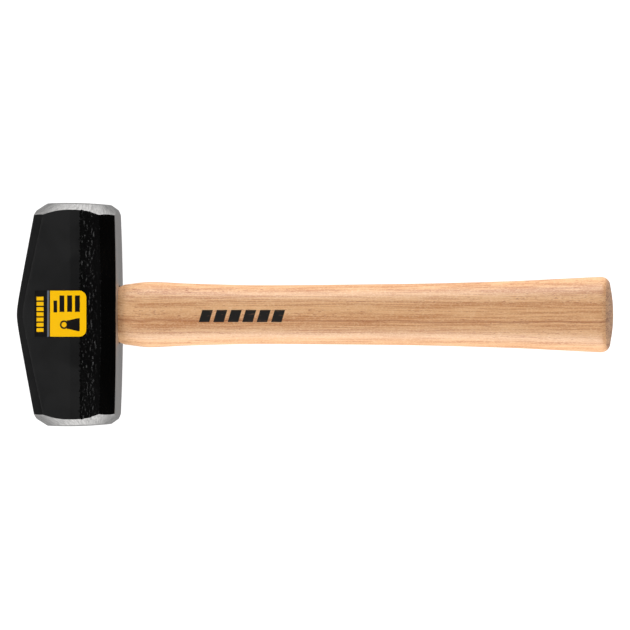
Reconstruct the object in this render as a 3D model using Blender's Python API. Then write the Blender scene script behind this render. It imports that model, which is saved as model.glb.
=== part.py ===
"""An octagonal club hammer: a forged two-faced head wedged onto a short hickory handle.

The hammer lies on one cheek. Metres, +Z up. X runs along the handle from head to butt, Y is
the strike axis, and the origin is on the surface the hammer lies on, under the point where
the handle's axis crosses the strike axis.
"""

import math
from typing import NamedTuple

import bmesh
import bpy
from mathutils import Matrix, Vector


class Station(NamedTuple):
    """The handle's size at one place along it."""

    at: float  # distance along the handle
    width: float  # along the strike axis
    thickness: float  # across the cheeks


# Head, sections across the strike axis
HEAD_LENGTH = 0.0998  # over the centres of the striking faces
HEAD_DEPTH = 0.0366  # over the cheeks
TOP_SIDE = 0.0268  # strike axis to the top side, at the middle of the head
TOP_TAPER = math.radians(10.7)  # how each half of the top side falls towards its end
TOP_ROUND = 0.0042  # rounding of the peak between the two halves
UNDERSIDE = 0.0181  # strike axis to the underside, at the middle of the head
UNDERSIDE_FALL = 0.0010  # how much closer the underside is at the ends
CHEEK_RIDGE = -0.0020  # X where the level part of a cheek ends and its draft begins
CHEEK_DRAFT = math.radians(7.4)
TOP_CORNER_END = 0.0048  # corner flat beside the top side, at the striking ends
TOP_CORNER_MIDDLE = 0.0030
GRIP_CORNER = 0.0065  # corner flat beside the underside, along X
GRIP_CORNER_END = 0.0065  # the same flat across the cheeks, at the striking ends
GRIP_CORNER_MIDDLE = 0.0042
CORNER_RADIUS = 0.0009

# Striking faces
FACE_RADIUS = 0.0143
FACE_FLAT_RADIUS = 0.0040  # level spot at the centre of the crown
FACE_CROWN_RADIUS = 0.1900
FACE_CHAMFER = math.radians(34.0)  # cone around the face, down from the face's plane
FACE_EDGE_RADIUS = 0.0016
TOE_IN = math.radians(1.6)  # each face leans towards the handle

# Eye: an oval hole along X, wider at the top side so that the wedged wood can't pull out
EYE_LENGTH_UNDER = 0.0250
EYE_WIDTH_UNDER = 0.0170
EYE_LENGTH_TOP = 0.0275
EYE_WIDTH_TOP = 0.0195
EYE_POWER = 2.3  # exponent of the oval: 2 is an ellipse, more is squarer
FIT_GAP = 0.0003  # clearance between pieces that touch

# Handle
HANDLE_LENGTH = 0.2209  # underside of the head to the end of the butt
NECK = Station(0.0023, 0.0268, 0.0192)  # stations measured from the head's underside
SHOULDER = Station(0.0135, 0.0292, 0.0222)
TAPER = Station(0.0316, 0.0277, 0.0213)
WAIST = Station(0.0640, 0.0263, 0.0204)
GRIP = Station(0.0960, 0.0273, 0.0212)  # stations measured back from the butt's end
FLARE = Station(0.0462, 0.0297, 0.0230)
SWELL = Station(0.0249, 0.0317, 0.0244)
BUTT = Station(0.0060, 0.0336, 0.0256)
GRIP_POWER = 2.3
BUTT_CROWN_RADIUS = 0.0600
BUTT_EDGE_RADIUS = 0.0040
TENON_RECESS = 0.0022  # the sawn tenon sits this far below the peak of the top side

# Wedges, driven into the tenon from the top side
WOOD_WEDGE_LENGTH = 0.0260
WOOD_WEDGE_HEAD = 0.0048  # thickness at its sawn end
WOOD_WEDGE_TIP = 0.0012
WOOD_WEDGE_MARGIN = 0.0008  # its edges stay this far inside the eye's narrow end
STEEL_WEDGE_LENGTH = 0.0170
STEEL_WEDGE_WIDTH = 0.0130
STEEL_WEDGE_HEAD = 0.0024
STEEL_WEDGE_TIP = 0.0008
STEEL_WEDGE_OFFSET = 0.0062  # from the handle's middle plane to each steel wedge, along Y

# Label, a film on the cheek that faces up
LABEL_START = -0.0182
LABEL_END = 0.0052
LABEL_HEIGHT = 0.0210  # along the strike axis
LABEL_CORNER_RADIUS = 0.0025
LABEL_THICKNESS = 0.0002

# Fineness of the curved surfaces
CORNER_STEPS = 3
OVAL_POINTS = 40
TURNED_STEPS = 48
CROWN_STEPS = 4
EDGE_STEPS = 3
CUTTER_MARGIN = 0.0040  # how far a cutter runs past what it cuts
TURNED_RADIUS = 0.0500  # outside everything on the head

MIDDLE_HEIGHT = HEAD_DEPTH / 2  # height of the handle's axis over the rest surface
TENON_END = -(TOP_SIDE - TENON_RECESS)


def top_side_at(y):
    """Distance from the strike axis to the top side: two straight falls and a rounded peak."""
    run = math.hypot(y, TOP_ROUND) - TOP_ROUND
    return TOP_SIDE - math.tan(TOP_TAPER) * run


def underside_at(y):
    """Distance from the strike axis to the slightly swelled underside."""
    return UNDERSIDE - UNDERSIDE_FALL * (2 * y / HEAD_LENGTH) ** 2


def blend_to_end(y, middle, end):
    """A size that goes straight from its value at the middle to its value at the ends."""
    share = min(abs(2 * y / HEAD_LENGTH), 1.0)
    return middle + (end - middle) * share


def cheek_height(x):
    """Half the head's depth at x: level near the handle, falling with the draft past the ridge."""
    return HEAD_DEPTH / 2 - math.tan(CHEEK_DRAFT) * max(CHEEK_RIDGE - x, 0.0)


def head_corners(y):
    """The section's corners at y as (x, z) pairs about the head's middle, going round once."""
    under = underside_at(y)
    top = top_side_at(y)
    grip_corner_depth = blend_to_end(y, GRIP_CORNER_MIDDLE, GRIP_CORNER_END)
    top_corner = blend_to_end(y, TOP_CORNER_MIDDLE, TOP_CORNER_END)
    shoulder_x = top_corner - top
    half = [
        (under, HEAD_DEPTH / 2 - grip_corner_depth),
        (under - GRIP_CORNER, HEAD_DEPTH / 2),
        (CHEEK_RIDGE, HEAD_DEPTH / 2),
        (shoulder_x, cheek_height(shoulder_x)),
        (-top, cheek_height(shoulder_x) - top_corner),
    ]
    return half + [(x, -z) for x, z in reversed(half)]


def rounded(corners, radius, steps):
    """The closed outline with an arc in place of each corner."""
    outline = []
    count = len(corners)
    for i, corner in enumerate(corners):
        here = Vector(corner)
        back = (Vector(corners[i - 1]) - here).normalized()
        ahead = (Vector(corners[(i + 1) % count]) - here).normalized()
        half_turn = back.angle(ahead) / 2
        setback = radius / math.tan(half_turn)
        centre = here + (back + ahead).normalized() * (radius / math.sin(half_turn))
        start = here + back * setback - centre
        sweep = math.pi - 2 * half_turn
        turn = -1 if back.x * ahead.y - back.y * ahead.x > 0 else 1
        for step in range(steps + 1):
            angle = turn * sweep * step / steps
            outline.append(centre + Matrix.Rotation(angle, 2) @ start)
    return outline


def oval(width, thickness, power, points=OVAL_POINTS):
    """A superellipse as (y, z) pairs: width along Y, thickness along Z."""
    pairs = []
    for i in range(points):
        angle = 2 * math.pi * i / points
        c = math.cos(angle)
        s = math.sin(angle)
        y = math.copysign(abs(c) ** (2 / power), c) * width / 2
        z = math.copysign(abs(s) ** (2 / power), s) * thickness / 2
        pairs.append((y, z))
    return pairs


def new_object(name, bm, material=None):
    """A scene object from a bmesh, with its normals out and its round faces smooth."""
    bmesh.ops.recalc_face_normals(bm, faces=bm.faces)
    mesh = bpy.data.meshes.new(name)
    bm.to_mesh(mesh)
    bm.free()
    mesh.shade_smooth()
    mesh.set_sharp_from_angle(angle=math.radians(25))
    obj = bpy.data.objects.new(name, mesh)
    bpy.context.scene.collection.objects.link(obj)
    if material:
        mesh.materials.append(material)
    return obj


def loft(rings):
    """A closed bmesh through rings of equally many points, capped at both ends."""
    bm = bmesh.new()
    rows = [[bm.verts.new(point) for point in ring] for ring in rings]
    for row, following in zip(rows, rows[1:]):
        count = len(row)
        for i in range(count):
            j = (i + 1) % count
            bm.faces.new((row[i], row[j], following[j], following[i]))
    bm.faces.new(rows[0])
    bm.faces.new(rows[-1])
    return bm


def hidden(cutter):
    """Marks an object as a cutter, which is not a piece of the hammer."""
    cutter.hide_render = True
    cutter.display_type = "WIRE"
    return cutter


def boolean(obj, cutter, operation="DIFFERENCE"):
    """Adds an exact Boolean by the cutter."""
    modifier = obj.modifiers.new(f"{operation.lower()} {cutter.name}", "BOOLEAN")
    modifier.object = cutter
    modifier.operation = operation
    modifier.solver = "EXACT"


def material(name, colour, roughness, metallic):
    """A Principled material."""
    made = bpy.data.materials.new(name)
    made.use_nodes = True
    shader = made.node_tree.nodes["Principled BSDF"]
    shader.inputs["Base Color"].default_value = (*colour, 1.0)
    shader.inputs["Roughness"].default_value = roughness
    shader.inputs["Metallic"].default_value = metallic
    made.diffuse_color = (*colour, 1.0)
    return made


def eye_size(x):
    """The eye's length and width at x, on a straight taper from the underside to the peak."""
    share = (UNDERSIDE - x) / (UNDERSIDE + TOP_SIDE)
    length = EYE_LENGTH_UNDER + (EYE_LENGTH_TOP - EYE_LENGTH_UNDER) * share
    width = EYE_WIDTH_UNDER + (EYE_WIDTH_TOP - EYE_WIDTH_UNDER) * share
    return length, width


def oval_ring(x, width, thickness, power):
    """A ring of the handle or the eye, standing across X."""
    return [(x, y, MIDDLE_HEIGHT + z) for y, z in oval(width, thickness, power)]


def eye_ring(x, gap=0.0):
    """A ring of the eye's wall at x, or of what fits in it with a gap all round."""
    length, width = eye_size(x)
    return oval_ring(x, length - 2 * gap, width - 2 * gap, EYE_POWER)


def head_stations():
    """Places along Y for the head's rings, closest together where the top side turns."""
    reach = HEAD_LENGTH / 2 + CUTTER_MARGIN
    shares = [0.0, 0.035, 0.075, 0.125, 0.19, 0.28, 0.42, 0.60, 0.80, 1.0]
    half = [reach * share for share in shares]
    return [-y for y in reversed(half[1:])] + half


def face_profile():
    """Half the outline of one striking end as (radius, height over the face's centre)."""
    profile = [(FACE_FLAT_RADIUS, 0.0)]
    drop = 0.0
    for step in range(1, CROWN_STEPS + 1):
        radius = FACE_FLAT_RADIUS + (FACE_RADIUS - FACE_FLAT_RADIUS) * step / CROWN_STEPS
        drop = (radius**2 - FACE_FLAT_RADIUS**2) / (2 * FACE_CROWN_RADIUS)
        profile.append((radius, -drop))
    # The face's edge is eased by an arc between the crown and the cone.
    edge_radius, edge_height = profile.pop()
    for step in range(EDGE_STEPS + 1):
        angle = FACE_CHAMFER * step / EDGE_STEPS
        setback = FACE_EDGE_RADIUS * math.tan(FACE_CHAMFER / 2)
        radius = edge_radius - setback + FACE_EDGE_RADIUS * math.sin(angle)
        height = edge_height - FACE_EDGE_RADIUS * (1 - math.cos(angle))
        profile.append((radius, height))
    radius, height = profile[-1]
    profile.append((TURNED_RADIUS, height - (TURNED_RADIUS - radius) * math.tan(FACE_CHAMFER)))
    return profile


def turned_end(name, side):
    """The turned body that gives the head one striking end: side is +1 or -1 along Y."""
    profile = face_profile()
    profile.append((TURNED_RADIUS, -HEAD_LENGTH - 2 * CUTTER_MARGIN))
    rings = []
    for radius, height in profile:
        ring = []
        for i in range(TURNED_STEPS):
            angle = 2 * math.pi * i / TURNED_STEPS
            ring.append(Vector((radius * math.cos(angle), height, radius * math.sin(angle))))
        rings.append(ring)
    # The turned axis leans about Z, so that the face's plane leans towards the handle.
    lean = Matrix.Rotation(-TOE_IN, 4, "Z")
    place = Matrix.Translation((0.0, HEAD_LENGTH / 2, MIDDLE_HEIGHT)) @ lean
    mirror = Matrix.Scale(side, 4, (0.0, 1.0, 0.0))
    placed = [[mirror @ place @ point for point in ring] for ring in rings]
    return hidden(new_object(name, loft(placed)))


def eye_cutter():
    """The oval hole through the head."""
    ends = (UNDERSIDE + CUTTER_MARGIN, -(TOP_SIDE + CUTTER_MARGIN))
    return hidden(new_object("eye_cutter", loft([eye_ring(x) for x in ends])))


def make_head(steel):
    """The forged head: an octagonal loft, two turned striking ends and the eye."""
    rings = []
    for y in head_stations():
        outline = rounded(head_corners(y), CORNER_RADIUS, CORNER_STEPS)
        rings.append([(x, y, MIDDLE_HEIGHT + z) for x, z in outline])
    head = new_object("head", loft(rings), steel)
    boolean(head, turned_end("upper_end", 1), "INTERSECT")
    boolean(head, turned_end("lower_end", -1), "INTERSECT")
    boolean(head, eye_cutter())
    return head


def handle_stations():
    """The handle's stations in order, all measured from the strike axis."""
    front = [s._replace(at=UNDERSIDE + s.at) for s in (NECK, SHOULDER, TAPER, WAIST)]
    end = UNDERSIDE + HANDLE_LENGTH
    rear = [s._replace(at=end - s.at) for s in (GRIP, FLARE, SWELL, BUTT)]
    return front + rear


def slopes(places, values):
    """Slopes at each place for a smooth curve that doesn't overshoot its values."""
    runs = [b - a for a, b in zip(places, places[1:])]
    rates = [(b - a) / run for a, b, run in zip(values, values[1:], runs)]
    inner = []
    for before, after in zip(rates, rates[1:]):
        same_way = before * after > 0
        inner.append(2 * before * after / (before + after) if same_way else 0.0)
    return [rates[0], *inner, rates[-1]]


def smooth_value(x, places, values):
    """The value at x on a cubic curve through the places and values."""
    rates = slopes(places, values)
    last = len(places) - 2
    i = min(max(sum(place <= x for place in places) - 1, 0), last)
    run = places[i + 1] - places[i]
    t = (x - places[i]) / run
    start = (1 + 2 * t) * (1 - t) ** 2 * values[i] + t * (1 - t) ** 2 * run * rates[i]
    end = t**2 * (3 - 2 * t) * values[i + 1] + t**2 * (t - 1) * run * rates[i + 1]
    return start + end


def handle_size(x):
    """The handle's width and thickness at x, outside the head."""
    stations = handle_stations()
    places = [s.at for s in stations]
    width = smooth_value(x, places, [s.width for s in stations])
    thickness = smooth_value(x, places, [s.thickness for s in stations])
    return width, thickness


def butt_rings():
    """Rings over the butt: an eased edge, then a low crown up to a small level end."""
    end = UNDERSIDE + HANDLE_LENGTH
    width, thickness = handle_size(end - BUTT.at)
    crown_reach = width / 2 - BUTT_EDGE_RADIUS
    crown_drop = crown_reach**2 / (2 * BUTT_CROWN_RADIUS)
    edge_start = end - crown_drop - BUTT_EDGE_RADIUS
    rings = []
    steps = 2 * EDGE_STEPS
    for step in range(steps + 1):
        angle = math.pi / 2 * step / steps
        inset = BUTT_EDGE_RADIUS * (1 - math.cos(angle))
        x = edge_start + BUTT_EDGE_RADIUS * math.sin(angle)
        rings.append(oval_ring(x, width - 2 * inset, thickness - 2 * inset, GRIP_POWER))
    for step in range(1, CROWN_STEPS + 1):
        share = 1 - step / (CROWN_STEPS + 1)
        x = end - crown_drop * share**2
        inner_width = 2 * crown_reach * share
        inner_thickness = (thickness - 2 * BUTT_EDGE_RADIUS) * share
        rings.append(oval_ring(x, inner_width, inner_thickness, GRIP_POWER))
    return edge_start, rings


def make_handle(wood, cutters):
    """The hickory handle, with its tenon in the eye and slots for the wedges."""
    rings = [eye_ring(x, FIT_GAP) for x in (TENON_END, UNDERSIDE + FIT_GAP)]
    start = UNDERSIDE + NECK.at
    edge_start, butt = butt_rings()
    steps = 34
    for step in range(steps):
        x = start + (edge_start - start) * step / steps
        rings.append(oval_ring(x, *handle_size(x), GRIP_POWER))
    handle = new_object("handle", loft(rings + butt), wood)
    for cutter in cutters:
        boolean(handle, cutter)
    return handle


def tapered_block(length, head, tip, breadth, across, gap=0.0, overrun=0.0):
    """A wedge driven along +X from the tenon's sawn end.

    It is tapered along one axis and straight along the other: across is the index of the
    tapered one, 1 for Y and 2 for Z. A gap makes the slot that the wedge fits.
    """
    rings = []
    taper = (head - tip) / length
    ends = (TENON_END - overrun, TENON_END + length + gap)
    for x in ends:
        half = (head - taper * (x - TENON_END)) / 2 + gap
        wide = breadth / 2 + gap
        y, z = (half, wide) if across == 1 else (wide, half)
        corners = ((-y, -z), (y, -z), (y, z), (-y, z))
        rings.append([(x, a, MIDDLE_HEIGHT + b) for a, b in corners])
    return loft(rings)


def wood_wedge_block(gap=0.0, overrun=0.0, breadth=None):
    """The wood wedge, or its slot, which runs right across the tenon."""
    tip_x = TENON_END + WOOD_WEDGE_LENGTH
    widest = eye_size(tip_x)[0] - 2 * WOOD_WEDGE_MARGIN
    return tapered_block(
        WOOD_WEDGE_LENGTH,
        WOOD_WEDGE_HEAD,
        WOOD_WEDGE_TIP,
        breadth or widest,
        across=2,
        gap=gap,
        overrun=overrun,
    )


def steel_wedge_block(side, gap=0.0, overrun=0.0):
    """One steel wedge, or its slot, set across the wood wedge."""
    block = tapered_block(
        STEEL_WEDGE_LENGTH,
        STEEL_WEDGE_HEAD,
        STEEL_WEDGE_TIP,
        STEEL_WEDGE_WIDTH,
        across=1,
        gap=gap,
        overrun=overrun,
    )
    bmesh.ops.translate(block, verts=block.verts, vec=(0.0, side * STEEL_WEDGE_OFFSET, 0.0))
    return block


def make_label(film):
    """The label: a thin film that follows the cheek over its ridge."""
    half = LABEL_HEIGHT / 2
    outline = [(LABEL_START, half), (CHEEK_RIDGE, half)]
    corner_x = LABEL_END - LABEL_CORNER_RADIUS
    for step in range(EDGE_STEPS * 2 + 1):
        angle = math.pi / 2 * step / (EDGE_STEPS * 2)
        x = corner_x + LABEL_CORNER_RADIUS * math.sin(angle)
        y = half - LABEL_CORNER_RADIUS * (1 - math.cos(angle))
        outline.append((x, y))
    rings = []
    for x, y in outline:
        low = MIDDLE_HEIGHT + cheek_height(x) + FIT_GAP
        high = low + LABEL_THICKNESS
        rings.append([(x, -y, low), (x, y, low), (x, y, high), (x, -y, high)])
    return new_object("head_label", loft(rings), film)


def main():
    for obj in list(bpy.data.objects):
        bpy.data.objects.remove(obj)

    steel = material("painted_steel", (0.02, 0.02, 0.021), 0.35, 0.0)
    hickory = material("hickory", (0.66, 0.46, 0.28), 0.5, 0.0)
    pale_wood = material("wedge_wood", (0.72, 0.56, 0.36), 0.6, 0.0)
    bright_steel = material("wedge_steel", (0.45, 0.45, 0.46), 0.4, 1.0)
    film = material("label_film", (0.95, 0.62, 0.0), 0.4, 0.0)

    slot = dict(gap=FIT_GAP, overrun=CUTTER_MARGIN)
    across_tenon = EYE_LENGTH_TOP + 2 * CUTTER_MARGIN
    kerf = hidden(new_object("kerf_cutter", wood_wedge_block(breadth=across_tenon, **slot)))
    steel_slots = []
    for number, side in enumerate((1, -1), start=1):
        block = steel_wedge_block(side, **slot)
        steel_slots.append(hidden(new_object(f"steel_slot_{number}", block)))
        new_object(f"steel_wedge_{number}", steel_wedge_block(side), bright_steel)

    make_head(steel)
    make_handle(hickory, [kerf, *steel_slots])
    wood_wedge = new_object("wood_wedge", wood_wedge_block(), pale_wood)
    for cutter in steel_slots:
        boolean(wood_wedge, cutter)
    make_label(film)


main()
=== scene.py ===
"""An octagonal club hammer in black enamel and hickory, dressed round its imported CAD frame.

The hammer lies on one cheek. Metres, +Z up: X runs along the handle from the head to the butt,
Y is the strike axis, and the origin is on the surface the hammer lies on, under the point where
the handle's axis crosses the strike axis.
"""

import logging
import math
from dataclasses import dataclass, field
from enum import Enum
from typing import Any, NamedTuple

import bmesh
import bpy
import numpy as np
from mathutils import Matrix, Vector, noise


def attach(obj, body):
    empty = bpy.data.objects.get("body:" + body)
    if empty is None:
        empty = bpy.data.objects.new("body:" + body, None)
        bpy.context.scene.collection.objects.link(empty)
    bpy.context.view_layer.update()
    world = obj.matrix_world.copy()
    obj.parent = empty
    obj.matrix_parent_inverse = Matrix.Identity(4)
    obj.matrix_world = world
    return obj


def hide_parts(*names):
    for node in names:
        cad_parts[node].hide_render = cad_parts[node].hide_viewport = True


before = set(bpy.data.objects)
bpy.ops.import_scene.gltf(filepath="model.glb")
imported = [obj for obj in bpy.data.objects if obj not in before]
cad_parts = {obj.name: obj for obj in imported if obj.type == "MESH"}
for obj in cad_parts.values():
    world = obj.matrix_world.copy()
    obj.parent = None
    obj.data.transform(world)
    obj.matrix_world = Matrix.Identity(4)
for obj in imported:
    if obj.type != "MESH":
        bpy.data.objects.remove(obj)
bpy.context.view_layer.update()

log = logging.getLogger("club_hammer")

Colour = tuple[float, float, float]
Socket = bpy.types.NodeSocket
Value = float | Socket

MIDDLE_HEIGHT = 0.0183  # height of the handle's axis over the rest surface
OVAL_POWER = 2.3  # exponent of the eye's and the grip's ovals: 2 is an ellipse, more is squarer
NOISE_SEED = 5  # without one, mathutils takes its noise offsets from the clock


class Zone(Enum):
    """The surfaces of the head that are finished differently, as material indices."""

    ENAMEL = 0
    GROUND = 1
    BORE = 2


class Across(Enum):
    """The axis along which a wedge is tapered."""

    STRIKE_AXIS = 1
    DEPTH = 2


class Station(NamedTuple):
    """The handle's size at one place along it."""

    at: float
    width: float
    thickness: float


# ---------------------------------------------------------------------------------------------
# Node trees


class Graph:
    """A node tree with short ways to add and link its nodes."""

    def __init__(self, tree: bpy.types.NodeTree) -> None:
        """Keeps the tree that the nodes go into."""
        self.tree = tree

    def feed(self, socket: Socket, value: Any) -> None:
        """Links a socket to the value if that is a socket, and otherwise sets it.

        Args:
            socket: the input that takes the value.
            value: an output socket, or a constant of the input's type.
        """
        if isinstance(value, bpy.types.NodeSocket):
            self.tree.links.new(value, socket)
        else:
            socket.default_value = value

    def add(self, kind: str, inputs: dict[Any, Any] | None = None, **settings: Any) -> Any:
        """Adds one node.

        Args:
            kind: the node's type name.
            inputs: values or output sockets, by input name or index.
            settings: the node's own properties.

        Returns:
            The new node.
        """
        node = self.tree.nodes.new(kind)
        for name, value in settings.items():
            setattr(node, name, value)
        for name, value in (inputs or {}).items():
            self.feed(node.inputs[name], value)
        return node

    def maths(self, operation: str, a: Value, b: Value = 0.0, c: Value = 0.0) -> Socket:
        """The result of one Math node on up to three values."""
        return self.add("ShaderNodeMath", {0: a, 1: b, 2: c}, operation=operation).outputs[0]

    def product(self, *values: Value) -> Socket:
        """All the values multiplied together."""
        made = values[0]
        for value in values[1:]:
            made = self.maths("MULTIPLY", made, value)
        return made

    def total(self, *values: Value) -> Socket:
        """All the values added together."""
        made = values[0]
        for value in values[1:]:
            made = self.maths("ADD", made, value)
        return made

    def largest(self, *values: Value) -> Socket:
        """The largest of the values."""
        made = values[0]
        for value in values[1:]:
            made = self.maths("MAXIMUM", made, value)
        return made

    def inverse(self, value: Value) -> Socket:
        """One minus the value."""
        return self.maths("SUBTRACT", 1.0, value)

    def rise(self, value: Value, low: Value, high: Value, start: Value = 0.0,
             end: Value = 1.0) -> Socket:
        """A smooth step.

        Args:
            value: what is read.
            low: where the step begins.
            high: where it ends, which may be below low.
            start: the result before the step.
            end: the result after it.

        Returns:
            The stepped value.
        """
        inputs = {"Value": value, "From Min": low, "From Max": high, "To Min": start, "To Max": end}
        node = self.add("ShaderNodeMapRange", inputs, interpolation_type="SMOOTHSTEP")
        return node.outputs["Result"]

    def split(self, vector: Socket) -> tuple[Socket, Socket, Socket]:
        """The three parts of a vector."""
        node = self.add("ShaderNodeSeparateXYZ", {0: vector})
        return node.outputs[0], node.outputs[1], node.outputs[2]

    def vector(self, x: Value, y: Value, z: Value) -> Socket:
        """A vector from three values."""
        return self.add("ShaderNodeCombineXYZ", {0: x, 1: y, 2: z}).outputs[0]

    def stretched(self, vector: Socket, rates: tuple[float, float, float]) -> Socket:
        """The vector with each part multiplied by its own rate."""
        node = self.add("ShaderNodeVectorMath", {0: vector, 1: rates}, operation="MULTIPLY")
        return node.outputs[0]

    def grain(self, vector: Socket, scale: Value = 1.0, detail: float = 2.0,
              roughness: float = 0.5, distortion: float = 0.0) -> Socket:
        """A fractal noise about 0.5.

        Args:
            vector: where it is read.
            scale: how many features there are in one unit of the vector.
            detail: how many finer layers it has.
            roughness: how strong the finer layers are.
            distortion: how much it is warped.

        Returns:
            The noise value.
        """
        inputs = {"Vector": vector, "Scale": scale, "Detail": detail, "Roughness": roughness,
                  "Distortion": distortion}
        return self.add("ShaderNodeTexNoise", inputs).outputs["Fac"]

    def blend(self, share: Value, a: Colour | Socket, b: Colour | Socket) -> Socket:
        """A colour between a and b.

        Args:
            share: 0 for a and 1 for b.
            a: a colour or a colour socket.
            b: a colour or a colour socket.

        Returns:
            The mixed colour.
        """
        node = self.add("ShaderNodeMix", data_type="RGBA")
        self.feed(node.inputs[0], share)
        for socket, colour in ((node.inputs[6], a), (node.inputs[7], b)):
            is_socket = isinstance(colour, bpy.types.NodeSocket)
            self.feed(socket, colour if is_socket else (*colour, 1.0))
        return node.outputs[2]

    def place(self) -> Socket:
        """The surface point in the object's own coordinates."""
        return self.add("ShaderNodeTexCoord").outputs["Object"]

    def relief(self, height: Value, distance: float) -> Socket:
        """A normal bent by a height pattern.

        Args:
            height: the pattern, from 0 to 1.
            distance: the real height of the pattern's full range.

        Returns:
            The bent normal.
        """
        return self.add("ShaderNodeBump", {"Height": height, "Distance": distance}).outputs["Normal"]


class SharedEffect:
    """A shader node group, built once and placed in each material with its own values."""

    title: str = ""
    inlets: dict[str, float] = {}
    outlets: tuple[str, ...] = ()

    def weave(self, graph: Graph, entry: Any) -> dict[str, Socket]:
        """Adds the effect's nodes.

        Args:
            graph: the group's tree.
            entry: the group's inputs, by name, with the surface point as Place.

        Returns:
            The socket for each outlet.
        """
        raise NotImplementedError

    def tree(self) -> bpy.types.NodeTree:
        """The group's tree, which is built the first time it is asked for."""
        found = bpy.data.node_groups.get(self.title)
        if found:
            return found
        tree = bpy.data.node_groups.new(self.title, "ShaderNodeTree")
        tree.interface.new_socket("Place", in_out="INPUT", socket_type="NodeSocketVector")
        for name, value in self.inlets.items():
            inlet = tree.interface.new_socket(name, in_out="INPUT", socket_type="NodeSocketFloat")
            inlet.default_value = value
        for name in self.outlets:
            tree.interface.new_socket(name, in_out="OUTPUT", socket_type="NodeSocketFloat")
        graph = Graph(tree)
        results = self.weave(graph, graph.add("NodeGroupInput").outputs)
        graph.add("NodeGroupOutput", results)
        return tree

    def into(self, graph: Graph, place: Socket, **values: Value) -> Any:
        """Places the group in a material.

        Args:
            graph: the material's tree.
            place: the surface point.
            values: values for the inlets, with _ for each space.

        Returns:
            The group node's outputs, by name.
        """
        node = graph.add("ShaderNodeGroup", node_tree=self.tree())
        graph.feed(node.inputs["Place"], place)
        for name, value in values.items():
            graph.feed(node.inputs[name.replace("_", " ")], value)
        return node.outputs


class EdgeWear(SharedEffect):
    """Where handling has rubbed an edge: an edge mask broken up by a fine noise."""

    title = "edge wear"
    inlets = {"Edge": 0.0, "Amount": 0.5, "Fineness": 900.0}
    outlets = ("Wear",)

    def weave(self, graph: Graph, entry: Any) -> dict[str, Socket]:
        """Adds the mask's nodes."""
        chips = graph.grain(entry["Place"], entry["Fineness"], detail=3.0, roughness=0.6)
        reach = graph.product(entry["Edge"], entry["Amount"])
        return {"Wear": graph.rise(graph.total(chips, reach), 1.0, 1.25)}


class Smudges(SharedEffect):
    """Faint handling marks and settled dust, which vary the gloss of a surface."""

    title = "handling smudges"
    inlets = {"Spread": 45.0, "Fineness": 1400.0}
    outlets = ("Smudge", "Specks")

    def weave(self, graph: Graph, entry: Any) -> dict[str, Socket]:
        """Adds a broad cloudy mask and small specks."""
        broad = graph.grain(entry["Place"], entry["Spread"], detail=4.0, distortion=0.6)
        fine = graph.grain(entry["Place"], entry["Fineness"], detail=1.0)
        return {"Smudge": graph.rise(broad, 0.35, 0.7), "Specks": graph.rise(fine, 0.70, 0.80)}


class GrindMarks(SharedEffect):
    """Straight fine scratches that run out from the strike axis, or round it."""

    title = "grind marks"
    inlets = {"Radial": 1.0, "Skew": 40.0, "Count": 105.0, "Length": 130.0, "Change": 30.0}
    outlets = ("Marks", "Shade")
    core = 0.0005  # the radius within which the direction outwards is held steady
    ring_rate = 5200.0
    turn_rate = 1.5
    shade_rate = 0.16

    def weave(self, graph: Graph, entry: Any) -> dict[str, Socket]:
        """Adds the scratches and a slower change of shade along them."""
        x, y, z = graph.split(entry["Place"])
        up = graph.maths("SUBTRACT", z, MIDDLE_HEIGHT)
        radius = graph.maths("SQRT", graph.total(graph.product(x, x), graph.product(up, up)))
        steady = graph.maths("MAXIMUM", radius, self.core)
        turn = graph.product(radius, entry["Skew"])
        cosine = graph.maths("DIVIDE", x, steady)
        sine = graph.maths("DIVIDE", up, steady)
        lean_x = graph.maths("MULTIPLY_ADD", sine, turn, cosine)
        lean_z = graph.maths("SUBTRACT", sine, graph.product(cosine, turn))
        along = graph.product(y, entry["Change"])
        outward = graph.vector(
            graph.product(lean_x, entry["Count"]),
            graph.product(lean_z, entry["Count"]),
            graph.maths("MULTIPLY_ADD", radius, entry["Length"], along),
        )
        rings = graph.vector(
            graph.product(radius, self.ring_rate),
            graph.product(lean_x, self.turn_rate),
            graph.total(lean_z, along),
        )
        across = graph.add("ShaderNodeMix", data_type="VECTOR")
        graph.feed(across.inputs[0], entry["Radial"])
        graph.feed(across.inputs[4], rings)
        graph.feed(across.inputs[5], outward)
        marks = graph.grain(across.outputs[1], 1.0, detail=3.0, roughness=0.62)
        shade = graph.grain(across.outputs[1], self.shade_rate, detail=2.0)
        return {"Marks": marks, "Shade": shade}


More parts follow.
